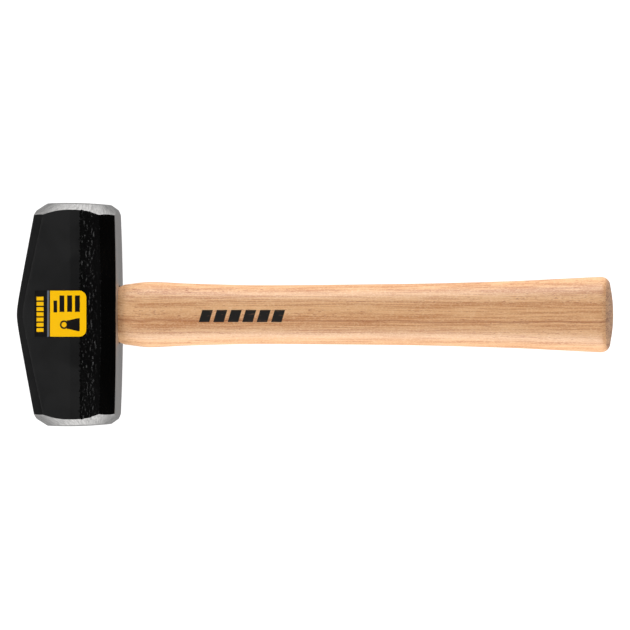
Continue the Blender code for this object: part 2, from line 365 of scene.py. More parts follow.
class WoodGrain(SharedEffect):
    """Straight-grained wood cut along X: growth rings, fibres, pores and ray flecks."""

    title = "wood grain"
    inlets = {"Tilt": 0.5, "Ring": 0.0032, "Bend": 0.0016, "Offset": 0.0}
    outlets = ("Tone", "Fibre", "Pores", "Flecks", "Across")
    # How many marks there are in a metre: along the grain, across it and through the depth.
    fibre_rates = (34.0, 1700.0, 700.0)
    vessel_rates = (420.0, 2700.0, 1800.0)
    ray_rates = (1100.0, 2300.0, 2300.0)
    ring_change = 2.6  # how fast a ring's tone changes along the grain
    ring_depth_change = 30.0
    row_rate = 2.3  # how many rows of pores there are in a ring
    sway_rate = 9.0

    def weave(self, graph: Graph, entry: Any) -> dict[str, Socket]:
        """Adds the rings, and the marks that follow them."""
        x, y, z = graph.split(entry["Place"])
        depth = graph.maths("SUBTRACT", z, MIDDLE_HEIGHT)
        drift = graph.vector(graph.product(x, self.sway_rate), 0.0, entry["Offset"])
        sway = graph.grain(drift, 1.0, detail=1.0)
        bend = graph.product(graph.maths("SUBTRACT", sway, 0.5), entry["Bend"])
        cosine = graph.maths("COSINE", entry["Tilt"])
        sine = graph.maths("SINE", entry["Tilt"])
        across = graph.total(graph.product(y, cosine), graph.product(depth, sine), bend)
        ring = graph.total(graph.maths("DIVIDE", across, entry["Ring"]), entry["Offset"])
        rings = graph.vector(
            ring, graph.product(x, self.ring_change), graph.product(depth, self.ring_depth_change)
        )
        tone = graph.grain(rings, 1.0, detail=2.5, roughness=0.55)
        grained = graph.vector(x, across, depth)
        fibres = graph.stretched(grained, self.fibre_rates)
        fibre = graph.grain(fibres, 1.0, detail=4.0, roughness=0.75)
        vessels = graph.stretched(grained, self.vessel_rates)
        open_pores = graph.rise(graph.grain(vessels, 1.0, detail=1.0), 0.60, 0.72)
        rows = graph.rise(graph.grain(rings, self.row_rate, detail=1.0), 0.46, 0.60)
        rays = graph.stretched(grained, self.ray_rates)
        flecks = graph.rise(graph.grain(rays, 1.0, detail=2.0), 0.46, 0.66)
        return {
            "Tone": tone,
            "Fibre": fibre,
            "Pores": graph.product(open_pores, rows),
            "Flecks": flecks,
            "Across": across,
        }


class PrintedBars(SharedEffect):
    """A row of plain bars on the X-Y plane, which may lean: one bar has a pitch of its length."""

    title = "printed bars"
    inlets = {"Start": 0.0, "End": 0.01, "Low": 0.0, "High": 0.01, "Pitch": 0.01, "Fill": 1.0,
              "Lean": 0.0, "Edge Softness": 0.00008}
    outlets = ("Print",)

    def weave(self, graph: Graph, entry: Any) -> dict[str, Socket]:
        """Adds the row's own window, and the bars in it."""
        x, y, _ = graph.split(entry["Place"])
        middle = graph.product(graph.total(entry["Low"], entry["High"]), 0.5)
        shift = graph.product(graph.maths("SUBTRACT", y, middle), entry["Lean"])
        along = graph.maths("SUBTRACT", x, shift)
        run = graph.maths("SUBTRACT", along, entry["Start"])
        turns = graph.maths("DIVIDE", run, entry["Pitch"])
        within = graph.product(graph.maths("FRACT", turns), entry["Pitch"])
        width = graph.product(entry["Pitch"], entry["Fill"])
        half_width = graph.product(width, 0.5)
        soft = entry["Edge Softness"]

        def inside(value: Socket, centre: Value, half: Value) -> Socket:
            """A mask that is 1 within half of the centre."""
            away = graph.maths("ABSOLUTE", graph.maths("SUBTRACT", value, centre))
            return graph.rise(graph.maths("SUBTRACT", away, half), soft, 0.0)

        def between(value: Socket, low: Value, high: Value) -> Socket:
            """A mask that is 1 from low to high."""
            centre = graph.product(graph.total(low, high), 0.5)
            half = graph.product(graph.maths("SUBTRACT", high, low), 0.5)
            return inside(value, centre, half)

        bar = inside(within, half_width, half_width)
        window = graph.product(
            between(along, entry["Start"], entry["End"]), between(y, entry["Low"], entry["High"])
        )
        return {"Print": graph.product(bar, window)}


# ---------------------------------------------------------------------------------------------
# Finishes


def new_material(name: str) -> tuple[bpy.types.Material, Graph, Any]:
    """An empty node material.

    Args:
        name: the material's name.

    Returns:
        The material, its graph and its Principled shader.
    """
    material = bpy.data.materials.new(name)
    material.use_nodes = True
    shader = material.node_tree.nodes["Principled BSDF"]
    return material, Graph(material.node_tree), shader


@dataclass(frozen=True)
class BlackEnamel:
    """Stoved black enamel: satin over ground steel, and glossy over the rough forge scale."""

    paint: Colour = (0.0050, 0.0050, 0.0052)
    thick: Colour = (0.0006, 0.0006, 0.0006)
    worn: Colour = (0.024, 0.024, 0.025)
    satin: float = 0.34
    satin_change: float = 0.09  # how much rougher the smudges make it
    gloss: float = 0.21
    gloss_change: float = 0.05
    gloss_start: float = 0.0022
    gloss_wander: float = 0.0032  # how far the start of the gloss strays
    specks: float = 0.35
    edge_wear: float = 0.50
    peel: float = 0.000025

    def build(self) -> bpy.types.Material:
        """Makes the material."""
        material, graph, shader = new_material("black_enamel")
        place = graph.place()
        x, _, _ = graph.split(place)
        edge = graph.add("ShaderNodeAttribute", attribute_name="edge").outputs["Fac"]
        wear = EdgeWear().into(graph, place, Edge=edge, Amount=self.edge_wear)["Wear"]
        marks = Smudges().into(graph, place)
        ragged = graph.maths("SUBTRACT", graph.grain(place, 900.0, detail=2.0), 0.5)
        past = graph.maths("MULTIPLY_ADD", ragged, self.gloss_wander, x)
        glossy = graph.rise(past, self.gloss_start - 0.0001, self.gloss_start + 0.0002)
        thin = graph.product(marks["Specks"], graph.inverse(glossy), self.specks)
        coat = graph.blend(glossy, self.paint, self.thick)
        colour = graph.blend(graph.maths("MAXIMUM", wear, thin), coat, self.worn)
        graph.feed(shader.inputs["Base Color"], colour)
        smudge = marks["Smudge"]
        satin = graph.rise(smudge, 0.0, 1.0, self.satin, self.satin + self.satin_change)
        gloss = graph.rise(smudge, 0.0, 1.0, self.gloss, self.gloss + self.gloss_change)
        away = graph.product(satin, graph.inverse(glossy))
        graph.feed(shader.inputs["Roughness"], graph.total(away, graph.product(gloss, glossy)))
        peel = graph.grain(place, 650.0, detail=2.0)
        orange = graph.grain(place, 2600.0, detail=2.0, roughness=0.6)
        height = graph.total(graph.product(peel, 0.6), graph.product(orange, 0.4))
        graph.feed(shader.inputs["Normal"], graph.relief(height, self.peel))
        return material


@dataclass(frozen=True)
class GroundSteel:
    """Bare steel off the grinder: straight scratches on the chamfers, rings on the faces."""

    bright: Colour = (0.62, 0.61, 0.60)
    dull: Colour = (0.33, 0.325, 0.32)
    smooth: float = 0.24
    rough: float = 0.42
    face_radius: float = 0.0140
    face_soft: float = 0.0004
    face_contrast: float = 0.35
    under_end: float = 0.0460  # where the underside ends along the strike axis
    under_fade: float = 0.002
    under_contrast: float = 0.45
    under_roughness: float = 0.12
    calm_tone: float = 0.6  # the share of bright where the marks hardly show
    scratch: float = 0.00003

    def build(self) -> bpy.types.Material:
        """Makes the material."""
        material, graph, shader = new_material("ground_steel")
        place = graph.place()
        x, y, z = graph.split(place)
        up = graph.maths("SUBTRACT", z, MIDDLE_HEIGHT)
        radius = graph.maths("SQRT", graph.total(graph.product(x, x), graph.product(up, up)))
        soft = self.face_soft
        chamfer = graph.rise(radius, self.face_radius - soft, self.face_radius + soft)
        marks = GrindMarks().into(graph, place, Radial=chamfer)
        tone = graph.total(graph.product(marks["Marks"], 0.6), graph.product(marks["Shade"], 0.4))
        end_start = self.under_end - self.under_fade
        under = graph.rise(graph.maths("ABSOLUTE", y), self.under_end, end_start)
        on_end = graph.rise(chamfer, 0.0, 1.0, self.face_contrast, 1.0)
        contrast = graph.product(on_end, graph.rise(under, 0.0, 1.0, 1.0, self.under_contrast))
        share = graph.maths("MULTIPLY_ADD", graph.rise(tone, 0.38, 0.62), contrast,
                            graph.product(graph.inverse(contrast), self.calm_tone))
        graph.feed(shader.inputs["Base Color"], graph.blend(share, self.dull, self.bright))
        roughness = graph.rise(marks["Marks"], 0.3, 0.7, self.rough, self.smooth)
        roughness = graph.maths("MULTIPLY_ADD", under, self.under_roughness, roughness)
        graph.feed(shader.inputs["Roughness"], roughness)
        shader.inputs["Metallic"].default_value = 1.0
        graph.feed(shader.inputs["Normal"], graph.relief(marks["Marks"], self.scratch))
        return material


@dataclass(frozen=True)
class BoreScale:
    """The eye's punched wall: dark forge scale with some overspray."""

    dark: Colour = (0.012, 0.011, 0.011)
    light: Colour = (0.045, 0.042, 0.040)
    drawn_rates: tuple[float, float, float] = (60.0, 900.0, 900.0)
    depth: float = 0.00006

    def build(self) -> bpy.types.Material:
        """Makes the material."""
        material, graph, shader = new_material("bore_scale")
        place = graph.place()
        drawn = graph.grain(graph.stretched(place, self.drawn_rates), 1.0, detail=3.0)
        graph.feed(shader.inputs["Base Color"], graph.blend(drawn, self.dark, self.light))
        graph.feed(shader.inputs["Roughness"], graph.rise(drawn, 0.3, 0.7, 0.65, 0.45))
        graph.feed(shader.inputs["Normal"], graph.relief(drawn, self.depth))
        return material


@dataclass(frozen=True)
class Hickory:
    """Pale hickory under a thin satin lacquer, with a printed row of bars and bare sawn ends."""

    light: Colour = (0.70, 0.402, 0.202)
    dark: Colour = (0.48, 0.206, 0.080)
    line: Colour = (0.34, 0.108, 0.042)
    fleck: Colour = (0.85, 0.62, 0.39)
    end_light: Colour = (0.66, 0.385, 0.215)
    end_dark: Colour = (0.27, 0.122, 0.066)
    ink: Colour = (0.0040, 0.0028, 0.0020)
    tilt: float = 0.30  # of the growth rings, in radians
    ring_share: float = 0.36  # how much of the tone comes from the rings, the rest from fibres
    fleck_share: float = 0.30
    pore_share: float = 0.85
    streak_share: float = 0.55
    satin: float = 0.47
    pore_roughness: float = 0.15
    sawn_roughness: float = 0.25
    pore_depth: float = 0.7  # as a share of the fibres' relief
    relief: float = 0.00004
    coat: float = 0.10
    coat_roughness: float = 0.38
    butt_end: float = 0.2362
    sawn_end: float = -0.0244
    streak: float = 0.0004  # where the brown line lies across the grain
    streak_wander: float = 0.0004
    streak_core: float = 0.0001
    streak_reach: float = 0.0008
    print_start: float = 0.0555
    print_end: float = 0.0925
    print_low: float = -0.0033
    print_high: float = 0.0020
    print_bars: int = 6
    print_fill: float = 0.72
    print_lean: float = 0.30
    print_soft: float = 0.00012
    print_in_pores: float = 0.80
    end_dot_rates: tuple[float, float, float] = (300.0, 2300.0, 2300.0)
    end_ring_rates: tuple[float, float, float] = (20.0, 420.0, 160.0)
    end_dot_share: float = 0.65

    def build(self) -> bpy.types.Material:
        """Makes the material."""
        material, graph, shader = new_material("lacquered_hickory")
        place = graph.place()
        x, y, z = graph.split(place)
        wood = WoodGrain().into(graph, place, Tilt=self.tilt)
        body = graph.total(
            graph.product(wood["Tone"], self.ring_share),
            graph.product(wood["Fibre"], 1.0 - self.ring_share),
        )
        colour = graph.blend(graph.rise(body, 0.40, 0.58), self.dark, self.light)
        colour = graph.blend(graph.product(wood["Flecks"], self.fleck_share), colour, self.fleck)
        colour = graph.blend(graph.product(wood["Pores"], self.pore_share), colour, self.line)
        streak = self.streak_mask(graph, wood["Across"], x, z)
        colour = graph.blend(graph.product(streak, self.streak_share), colour, self.line)
        printed = self.print_mask(graph, place, z, wood["Pores"])
        colour = graph.blend(printed, colour, self.ink)
        sawn = self.sawn_mask(graph, x)
        colour = graph.blend(sawn, colour, self.end_colour(graph, place))
        graph.feed(shader.inputs["Base Color"], colour)
        satin = graph.total(self.satin, graph.product(wood["Pores"], self.pore_roughness))
        roughness = graph.maths("MULTIPLY_ADD", sawn, self.sawn_roughness, satin)
        graph.feed(shader.inputs["Roughness"], roughness)
        pitted = graph.maths("MULTIPLY_ADD", wood["Pores"], -self.pore_depth, wood["Fibre"])
        graph.feed(shader.inputs["Normal"], graph.relief(pitted, self.relief))
        shader.inputs["Coat Weight"].default_value = self.coat
        shader.inputs["Coat Roughness"].default_value = self.coat_roughness
        return material

    def streak_mask(self, graph: Graph, across: Socket, x: Socket, z: Socket) -> Socket:
        """The brown line that runs the whole length of the handle's upper side.

        Args:
            graph: the material's tree.
            across: the distance across the grain.
            x: the distance along it.
            z: the height.

        Returns:
            The line's mask.
        """
        waver = graph.grain(graph.vector(graph.product(x, 40.0), 0.0, 0.0), 1.0, detail=3.0)
        wander = self.streak_wander
        centre = graph.rise(waver, 0.3, 0.7, self.streak - wander, self.streak + wander)
        away = graph.maths("ABSOLUTE", graph.maths("SUBTRACT", across, centre))
        upper = graph.rise(z, MIDDLE_HEIGHT, MIDDLE_HEIGHT + 0.004)
        return graph.product(graph.rise(away, self.streak_reach, self.streak_core), upper)

    def print_mask(self, graph: Graph, place: Socket, z: Socket, pores: Socket) -> Socket:
        """The row of leaning bars that is printed on the upper side.

        Args:
            graph: the material's tree.
            place: the surface point.
            z: the height.
            pores: the open pores, which the ink fills less.

        Returns:
            The print's mask.
        """
        pitch = (self.print_end - self.print_start) / (self.print_bars - 1 + self.print_fill)
        bars = PrintedBars().into(
            graph, place, Start=self.print_start, End=self.print_end, Low=self.print_low,
            High=self.print_high, Pitch=pitch, Fill=self.print_fill, Lean=self.print_lean,
            Edge_Softness=self.print_soft,
        )["Print"]
        upper = graph.rise(z, MIDDLE_HEIGHT, MIDDLE_HEIGHT + 0.002)
        return graph.product(bars, upper, graph.rise(pores, 0.0, 1.0, 1.0, self.print_in_pores))

    def sawn_mask(self, graph: Graph, x: Socket) -> Socket:
        """Where the wood is cut across: the butt and the end of the tenon."""
        butt = graph.rise(x, self.butt_end - 0.0001, self.butt_end + 0.00015)
        tenon = graph.rise(x, self.sawn_end + 0.0001, self.sawn_end - 0.00005)
        return graph.maths("MAXIMUM", butt, tenon)

    def end_colour(self, graph: Graph, place: Socket) -> Socket:
        """The colour of the sawn ends, mottled by the open ends of the pores."""
        dots = graph.grain(graph.stretched(place, self.end_dot_rates), 1.0, detail=2.0)
        rings = graph.grain(graph.stretched(place, self.end_ring_rates), 1.0, detail=2.0)
        tone = graph.total(
            graph.product(dots, self.end_dot_share), graph.product(rings, 1.0 - self.end_dot_share)
        )
        return graph.blend(graph.rise(tone, 0.36, 0.62), self.end_dark, self.end_light)


@dataclass(frozen=True)
class WedgeWood:
    """Plain sawn hardwood, a little paler than the handle."""

    light: Colour = (0.66, 0.47, 0.28)
    dark: Colour = (0.40, 0.24, 0.12)
    tilt: float = 1.35
    ring: float = 0.0016
    offset: float = 7.0
    dot_rates: tuple[float, float, float] = (120.0, 1900.0, 1900.0)
    ring_share: float = 0.55
    relief: float = 0.00008

    def build(self) -> bpy.types.Material:
        """Makes the material."""
        material, graph, shader = new_material("wedge_hardwood")
        place = graph.place()
        grain = WoodGrain().into(graph, place, Tilt=self.tilt, Ring=self.ring, Offset=self.offset)
        dots = graph.grain(graph.stretched(place, self.dot_rates), 1.0, detail=2.0)
        body = graph.total(
            graph.product(grain["Tone"], self.ring_share), graph.product(dots, 1.0 - self.ring_share)
        )
        colour = graph.blend(graph.rise(body, 0.36, 0.64), self.dark, self.light)
        graph.feed(shader.inputs["Base Color"], colour)
        graph.feed(shader.inputs["Roughness"], graph.rise(dots, 0.3, 0.7, 0.72, 0.58))
        graph.feed(shader.inputs["Normal"], graph.relief(body, self.relief))
        return material


@dataclass(frozen=True)
class RolledSteel:
    """Dull rolled steel with a little rust and hammer-brightened edges."""

    dark: Colour = (0.17, 0.165, 0.16)
    light: Colour = (0.48, 0.47, 0.46)
    rust: Colour = (0.16, 0.065, 0.028)
    rust_share: float = 0.75
    edge_wear: float = 0.75
    blotch_rate: float = 1300.0
    relief: float = 0.00008

    def build(self) -> bpy.types.Material:
        """Makes the material."""
        material, graph, shader = new_material("rolled_steel")
        place = graph.place()
        edge = graph.add("ShaderNodeAttribute", attribute_name="edge").outputs["Fac"]
        wear = EdgeWear().into(graph, place, Edge=edge, Amount=self.edge_wear, Fineness=1500.0)
        marks = Smudges().into(graph, place, Spread=420.0, Fineness=2600.0)
        blotch = graph.grain(place, self.blotch_rate, detail=3.0, roughness=0.6)
        colour = graph.blend(graph.rise(blotch, 0.35, 0.65), self.dark, self.light)
        colour = graph.blend(wear["Wear"], colour, self.light)
        rusty = graph.product(marks["Smudge"], graph.rise(blotch, 0.62, 0.42), self.rust_share)
        colour = graph.blend(rusty, colour, self.rust)
        graph.feed(shader.inputs["Base Color"], colour)
        graph.feed(shader.inputs["Metallic"], graph.inverse(rusty))
        graph.feed(shader.inputs["Roughness"], graph.rise(blotch, 0.3, 0.7, 0.58, 0.38))
        graph.feed(shader.inputs["Normal"], graph.relief(blotch, self.relief))
        return material


@dataclass(frozen=True)
class PrintedFilm:
    """The label's satin film: a yellow panel and a black one, with plain bars and a weight."""

    yellow: Colour = (0.93, 0.513, 0.0012)
    black: Colour = (0.0045, 0.004, 0.004)
    grey: Colour = (0.115, 0.135, 0.175)
    ink: Colour = (0.006, 0.005, 0.005)
    panel_edge: float = -0.0112  # where the yellow panel begins
    line_edge: float = -0.0125  # where the black panel ends and the grey line begins
    line_width: float = 0.0009
    soft: float = 0.00006
    gloss: tuple[float, float] = (0.30, 0.40)  # roughness without smudges and under them
    specular: float = 0.26
    relief: float = 0.00004
    bars_x: tuple[float, float] = (-0.0069, 0.0023)
    bars_y: tuple[float, float] = (0.0012, 0.0085)
    note_x: tuple[float, float] = (-0.0096, -0.0080)
    note_y: tuple[float, float] = (0.0010, 0.0062)
    band_y: tuple[float, float] = (-0.0077, 0.0079)
    band_x: tuple[float, float] = (0.0142, 0.0173)  # measured towards the head's top side
    weight_y: float = -0.0045  # the weight's centre line
    weight_x: tuple[float, float] = (-0.0035, 0.0023)
    weight_half_width: tuple[float, float] = (0.0019, 0.0029)
    weight_edge: float = 0.00008
    ring_x: float = -0.0048
    ring_radius: float = 0.00155
    ring_line: tuple[float, float] = (0.00042, 0.00034)

    def build(self) -> bpy.types.Material:
        """Makes the material."""
        material, graph, shader = new_material("printed_film")
        place = graph.place()
        x, y, _ = graph.split(place)
        soft = self.soft
        line_stop = self.line_edge + self.line_width
        on_yellow = graph.rise(x, self.panel_edge - soft, self.panel_edge + soft)
        line_start = graph.rise(x, self.line_edge - soft, self.line_edge + soft)
        line_end = graph.rise(x, line_stop + soft, line_stop - soft)
        on_line = graph.product(line_start, line_end)
        colour = graph.blend(on_line, self.black, self.grey)
        colour = graph.blend(on_yellow, colour, self.yellow)
        colour = graph.blend(self.panel_print(graph, place, x, y), colour, self.ink)
        colour = graph.blend(self.band_print(graph, place), colour, self.yellow)
        graph.feed(shader.inputs["Base Color"], colour)
        marks = Smudges().into(graph, place, Spread=160.0)
        graph.feed(shader.inputs["Roughness"], graph.rise(marks["Smudge"], 0.0, 1.0, *self.gloss))
        ripple = graph.grain(place, 260.0, detail=3.0)
        graph.feed(shader.inputs["Normal"], graph.relief(ripple, self.relief))
        shader.inputs["Specular IOR Level"].default_value = self.specular
        return material

    def bar(self, graph: Graph, place: Socket, x: tuple[float, float],
            y: tuple[float, float], count: int = 1, fill: float = 1.0) -> Socket:
        """One printed bar, or a row of them.

        Args:
            graph: the material's tree.
            place: the surface point.
            x: where the row starts and ends.
            y: its low and high edges.
            count: how many bars it has.
            fill: the share of the pitch that each bar covers.

        Returns:
            The print's mask.
        """
        pitch = (x[1] - x[0]) / (count - 1 + fill)
        values = {"Start": x[0], "End": x[1], "Low": y[0], "High": y[1], "Pitch": pitch,
                  "Fill": fill}
        return PrintedBars().into(graph, place, **values)["Print"]

    def panel_print(self, graph: Graph, place: Socket, x: Socket, y: Socket) -> Socket:
        """The black print on the yellow panel: three bars, a small bar and a weight's outline.

        Args:
            graph: the material's tree.
            place: the surface point.
            x: the distance along the handle.
            y: the distance along the strike axis.

        Returns:
            The print's mask.
        """
        bars = self.bar(graph, place, self.bars_x, self.bars_y, 3, 0.62)
        note = self.bar(graph, place, self.note_x, self.note_y)
        # The weight: a block that widens towards its foot, under a ring.
        top, foot = self.weight_x
        edge = self.weight_edge
        half_width = graph.rise(x, top, foot, *self.weight_half_width)
        away = graph.maths("ABSOLUTE", graph.maths("SUBTRACT", y, self.weight_y))
        flank = graph.rise(graph.maths("SUBTRACT", away, half_width), edge, 0.0)
        above_foot = graph.rise(x, foot, foot - edge)
        below_top = graph.rise(x, top - edge, top)
        block = graph.product(flank, above_foot, below_top)
        run = graph.maths("SUBTRACT", x, self.ring_x)
        reach = graph.maths("SQRT", graph.total(graph.product(run, run), graph.product(away, away)))
        band = graph.maths("ABSOLUTE", graph.maths("SUBTRACT", reach, self.ring_radius))
        ring = graph.rise(band, *self.ring_line)
        return graph.largest(bars, note, block, ring)

    def band_print(self, graph: Graph, place: Socket) -> Socket:
        """The row of short yellow bars on the black panel."""
        quarter = graph.add("ShaderNodeMapping", {"Vector": place})
        quarter.inputs["Rotation"].default_value = (0.0, 0.0, math.radians(-90.0))
        return self.bar(graph, quarter.outputs[0], self.band_y, self.band_x, 7, 0.70)


# ---------------------------------------------------------------------------------------------
# Mesh helpers


def unit_oval(points: int) -> list[tuple[float, float]]:
    """A superellipse of half-width 1 as (y, z) pairs, going round once."""
    power = 2 / OVAL_POWER
    pairs = []
    for i in range(points):
        angle = 2 * math.pi * i / points
        c = math.cos(angle)
        s = math.sin(angle)
        pairs.append((math.copysign(abs(c) ** power, c), math.copysign(abs(s) ** power, s)))
    return pairs


def link_mesh(name: str, mesh: bpy.types.Mesh) -> bpy.types.Object:
    """A scene object that holds the mesh, at the origin."""
    obj = bpy.data.objects.new(name, mesh)
    bpy.context.scene.collection.objects.link(obj)
    return obj


def mesh_object(name: str, points: Any, faces: Any) -> bpy.types.Object:
    """An object from points and faces, with its faces turned outwards.

    Args:
        name: the object's name.
        points: the corners' places.
        faces: the corners' indices, by face.

    Returns:
        The object.
    """
    mesh = bpy.data.meshes.new(name)
    mesh.from_pydata(points, [], faces)
    bm = bmesh.new()
    bm.from_mesh(mesh)
    bmesh.ops.recalc_face_normals(bm, faces=bm.faces)
    bm.to_mesh(mesh)
    bm.free()
    return link_mesh(name, mesh)


def lofted(name: str, rings: list[list[Any]]) -> bpy.types.Object:
    """A closed body through rings of equally many points.

    Args:
        name: the object's name.
        rings: the rings in order, the first and last of which are capped.

    Returns:
        The object.
    """
    count = len(rings[0])
    points = [point for ring in rings for point in ring]
    faces = [tuple(range(count)), tuple(range(len(points) - count, len(points)))]
    for row in range(len(rings) - 1):
        for i in range(count):
            a = row * count + i
            b = row * count + (i + 1) % count
            faces.append((a, b, b + count, a + count))
    return mesh_object(name, points, faces)


def settle(obj: bpy.types.Object) -> None:
    """Replaces the object's mesh by what its modifiers make, and removes them."""
    graph = bpy.context.evaluated_depsgraph_get()
    made = bpy.data.meshes.new_from_object(
        obj.evaluated_get(graph), preserve_all_data_layers=True, depsgraph=graph
    )
    obj.modifiers.clear()
    old = obj.data
    obj.data = made
    made.name = obj.name
    bpy.data.meshes.remove(old)


def cut(obj: bpy.types.Object, *cutters: bpy.types.Object) -> None:
    """Cuts each cutter out of the object for good, and removes the cutters."""
    for cutter in cutters:
        modifier = obj.modifiers.new(cutter.name, "BOOLEAN")
        modifier.object = cutter
        modifier.operation = "DIFFERENCE"
        modifier.solver = "EXACT"
    settle(obj)
    for cutter in cutters:
        bpy.data.meshes.remove(cutter.data)


def smooth(obj: bpy.types.Object, sharp_from: float) -> None:
    """Shades the mesh smooth, except over edges that turn by more than the angle in degrees."""
    obj.data.shade_smooth()
    obj.data.set_sharp_from_angle(angle=math.radians(sharp_from))


def vertex_places(mesh: bpy.types.Mesh) -> np.ndarray:
    """The vertices' places as rows of x, y and z."""
    places = np.empty(len(mesh.vertices) * 3)
    mesh.vertices.foreach_get("co", places)
    return places.reshape(-1, 3)


def write_edge(mesh: bpy.types.Mesh, values: np.ndarray) -> None:
    """Stores how close each vertex is to an edge, from 0 to 1, for the wear to read."""
    layer = mesh.attributes.new("edge", "FLOAT", "POINT")
    layer.data.foreach_set("value", values.astype(np.float32))


def hand_over(obj: bpy.types.Object, node: str) -> None:
    """Puts a finished piece on the root body and hides the CAD part that it stands for.

    Args:
        obj: the finished piece.
        node: the CAD node that it stands for.
    """
    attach(obj, "root")
    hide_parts(node)
    log.info("%s: %d faces, stands for %s", obj.name, len(obj.data.polygons), node)


# ---------------------------------------------------------------------------------------------
# The head


@dataclass(frozen=True)
class Eye:
    """The oval hole through the head, wider at the top side so that the wedged wood holds."""

    under: float = 0.0181
    top: float = 0.0268
    length_under: float = 0.0250
    width_under: float = 0.0170
    length_top: float = 0.0275
    width_top: float = 0.0195
    rim: float = 0.0007
    flare: float = 1.6  # how many rims wider the cutter is where it has left the metal
    points: int = 96
    rim_steps: int = 4
    overrun: float = 0.0030

    def half_size(self, x: Any) -> tuple[Any, Any]:
        """Half the eye's length and width at x, or at each of many x, on a straight taper."""
        share = (self.under - x) / (self.under + self.top)
        length = self.length_under + (self.length_top - self.length_under) * share
        width = self.width_under + (self.width_top - self.width_under) * share
        return length / 2, width / 2


class Corner(NamedTuple):
    """A corner of the head's section, at each of many places along Y."""

    x: np.ndarray
    z: np.ndarray
    arc_steps: int
    flat_steps: int


class Column(NamedTuple):
    """One lengthwise line of the head's grid: a share of a corner's arc, or of a flat."""

    corner: int
    on_arc: bool
    share: float


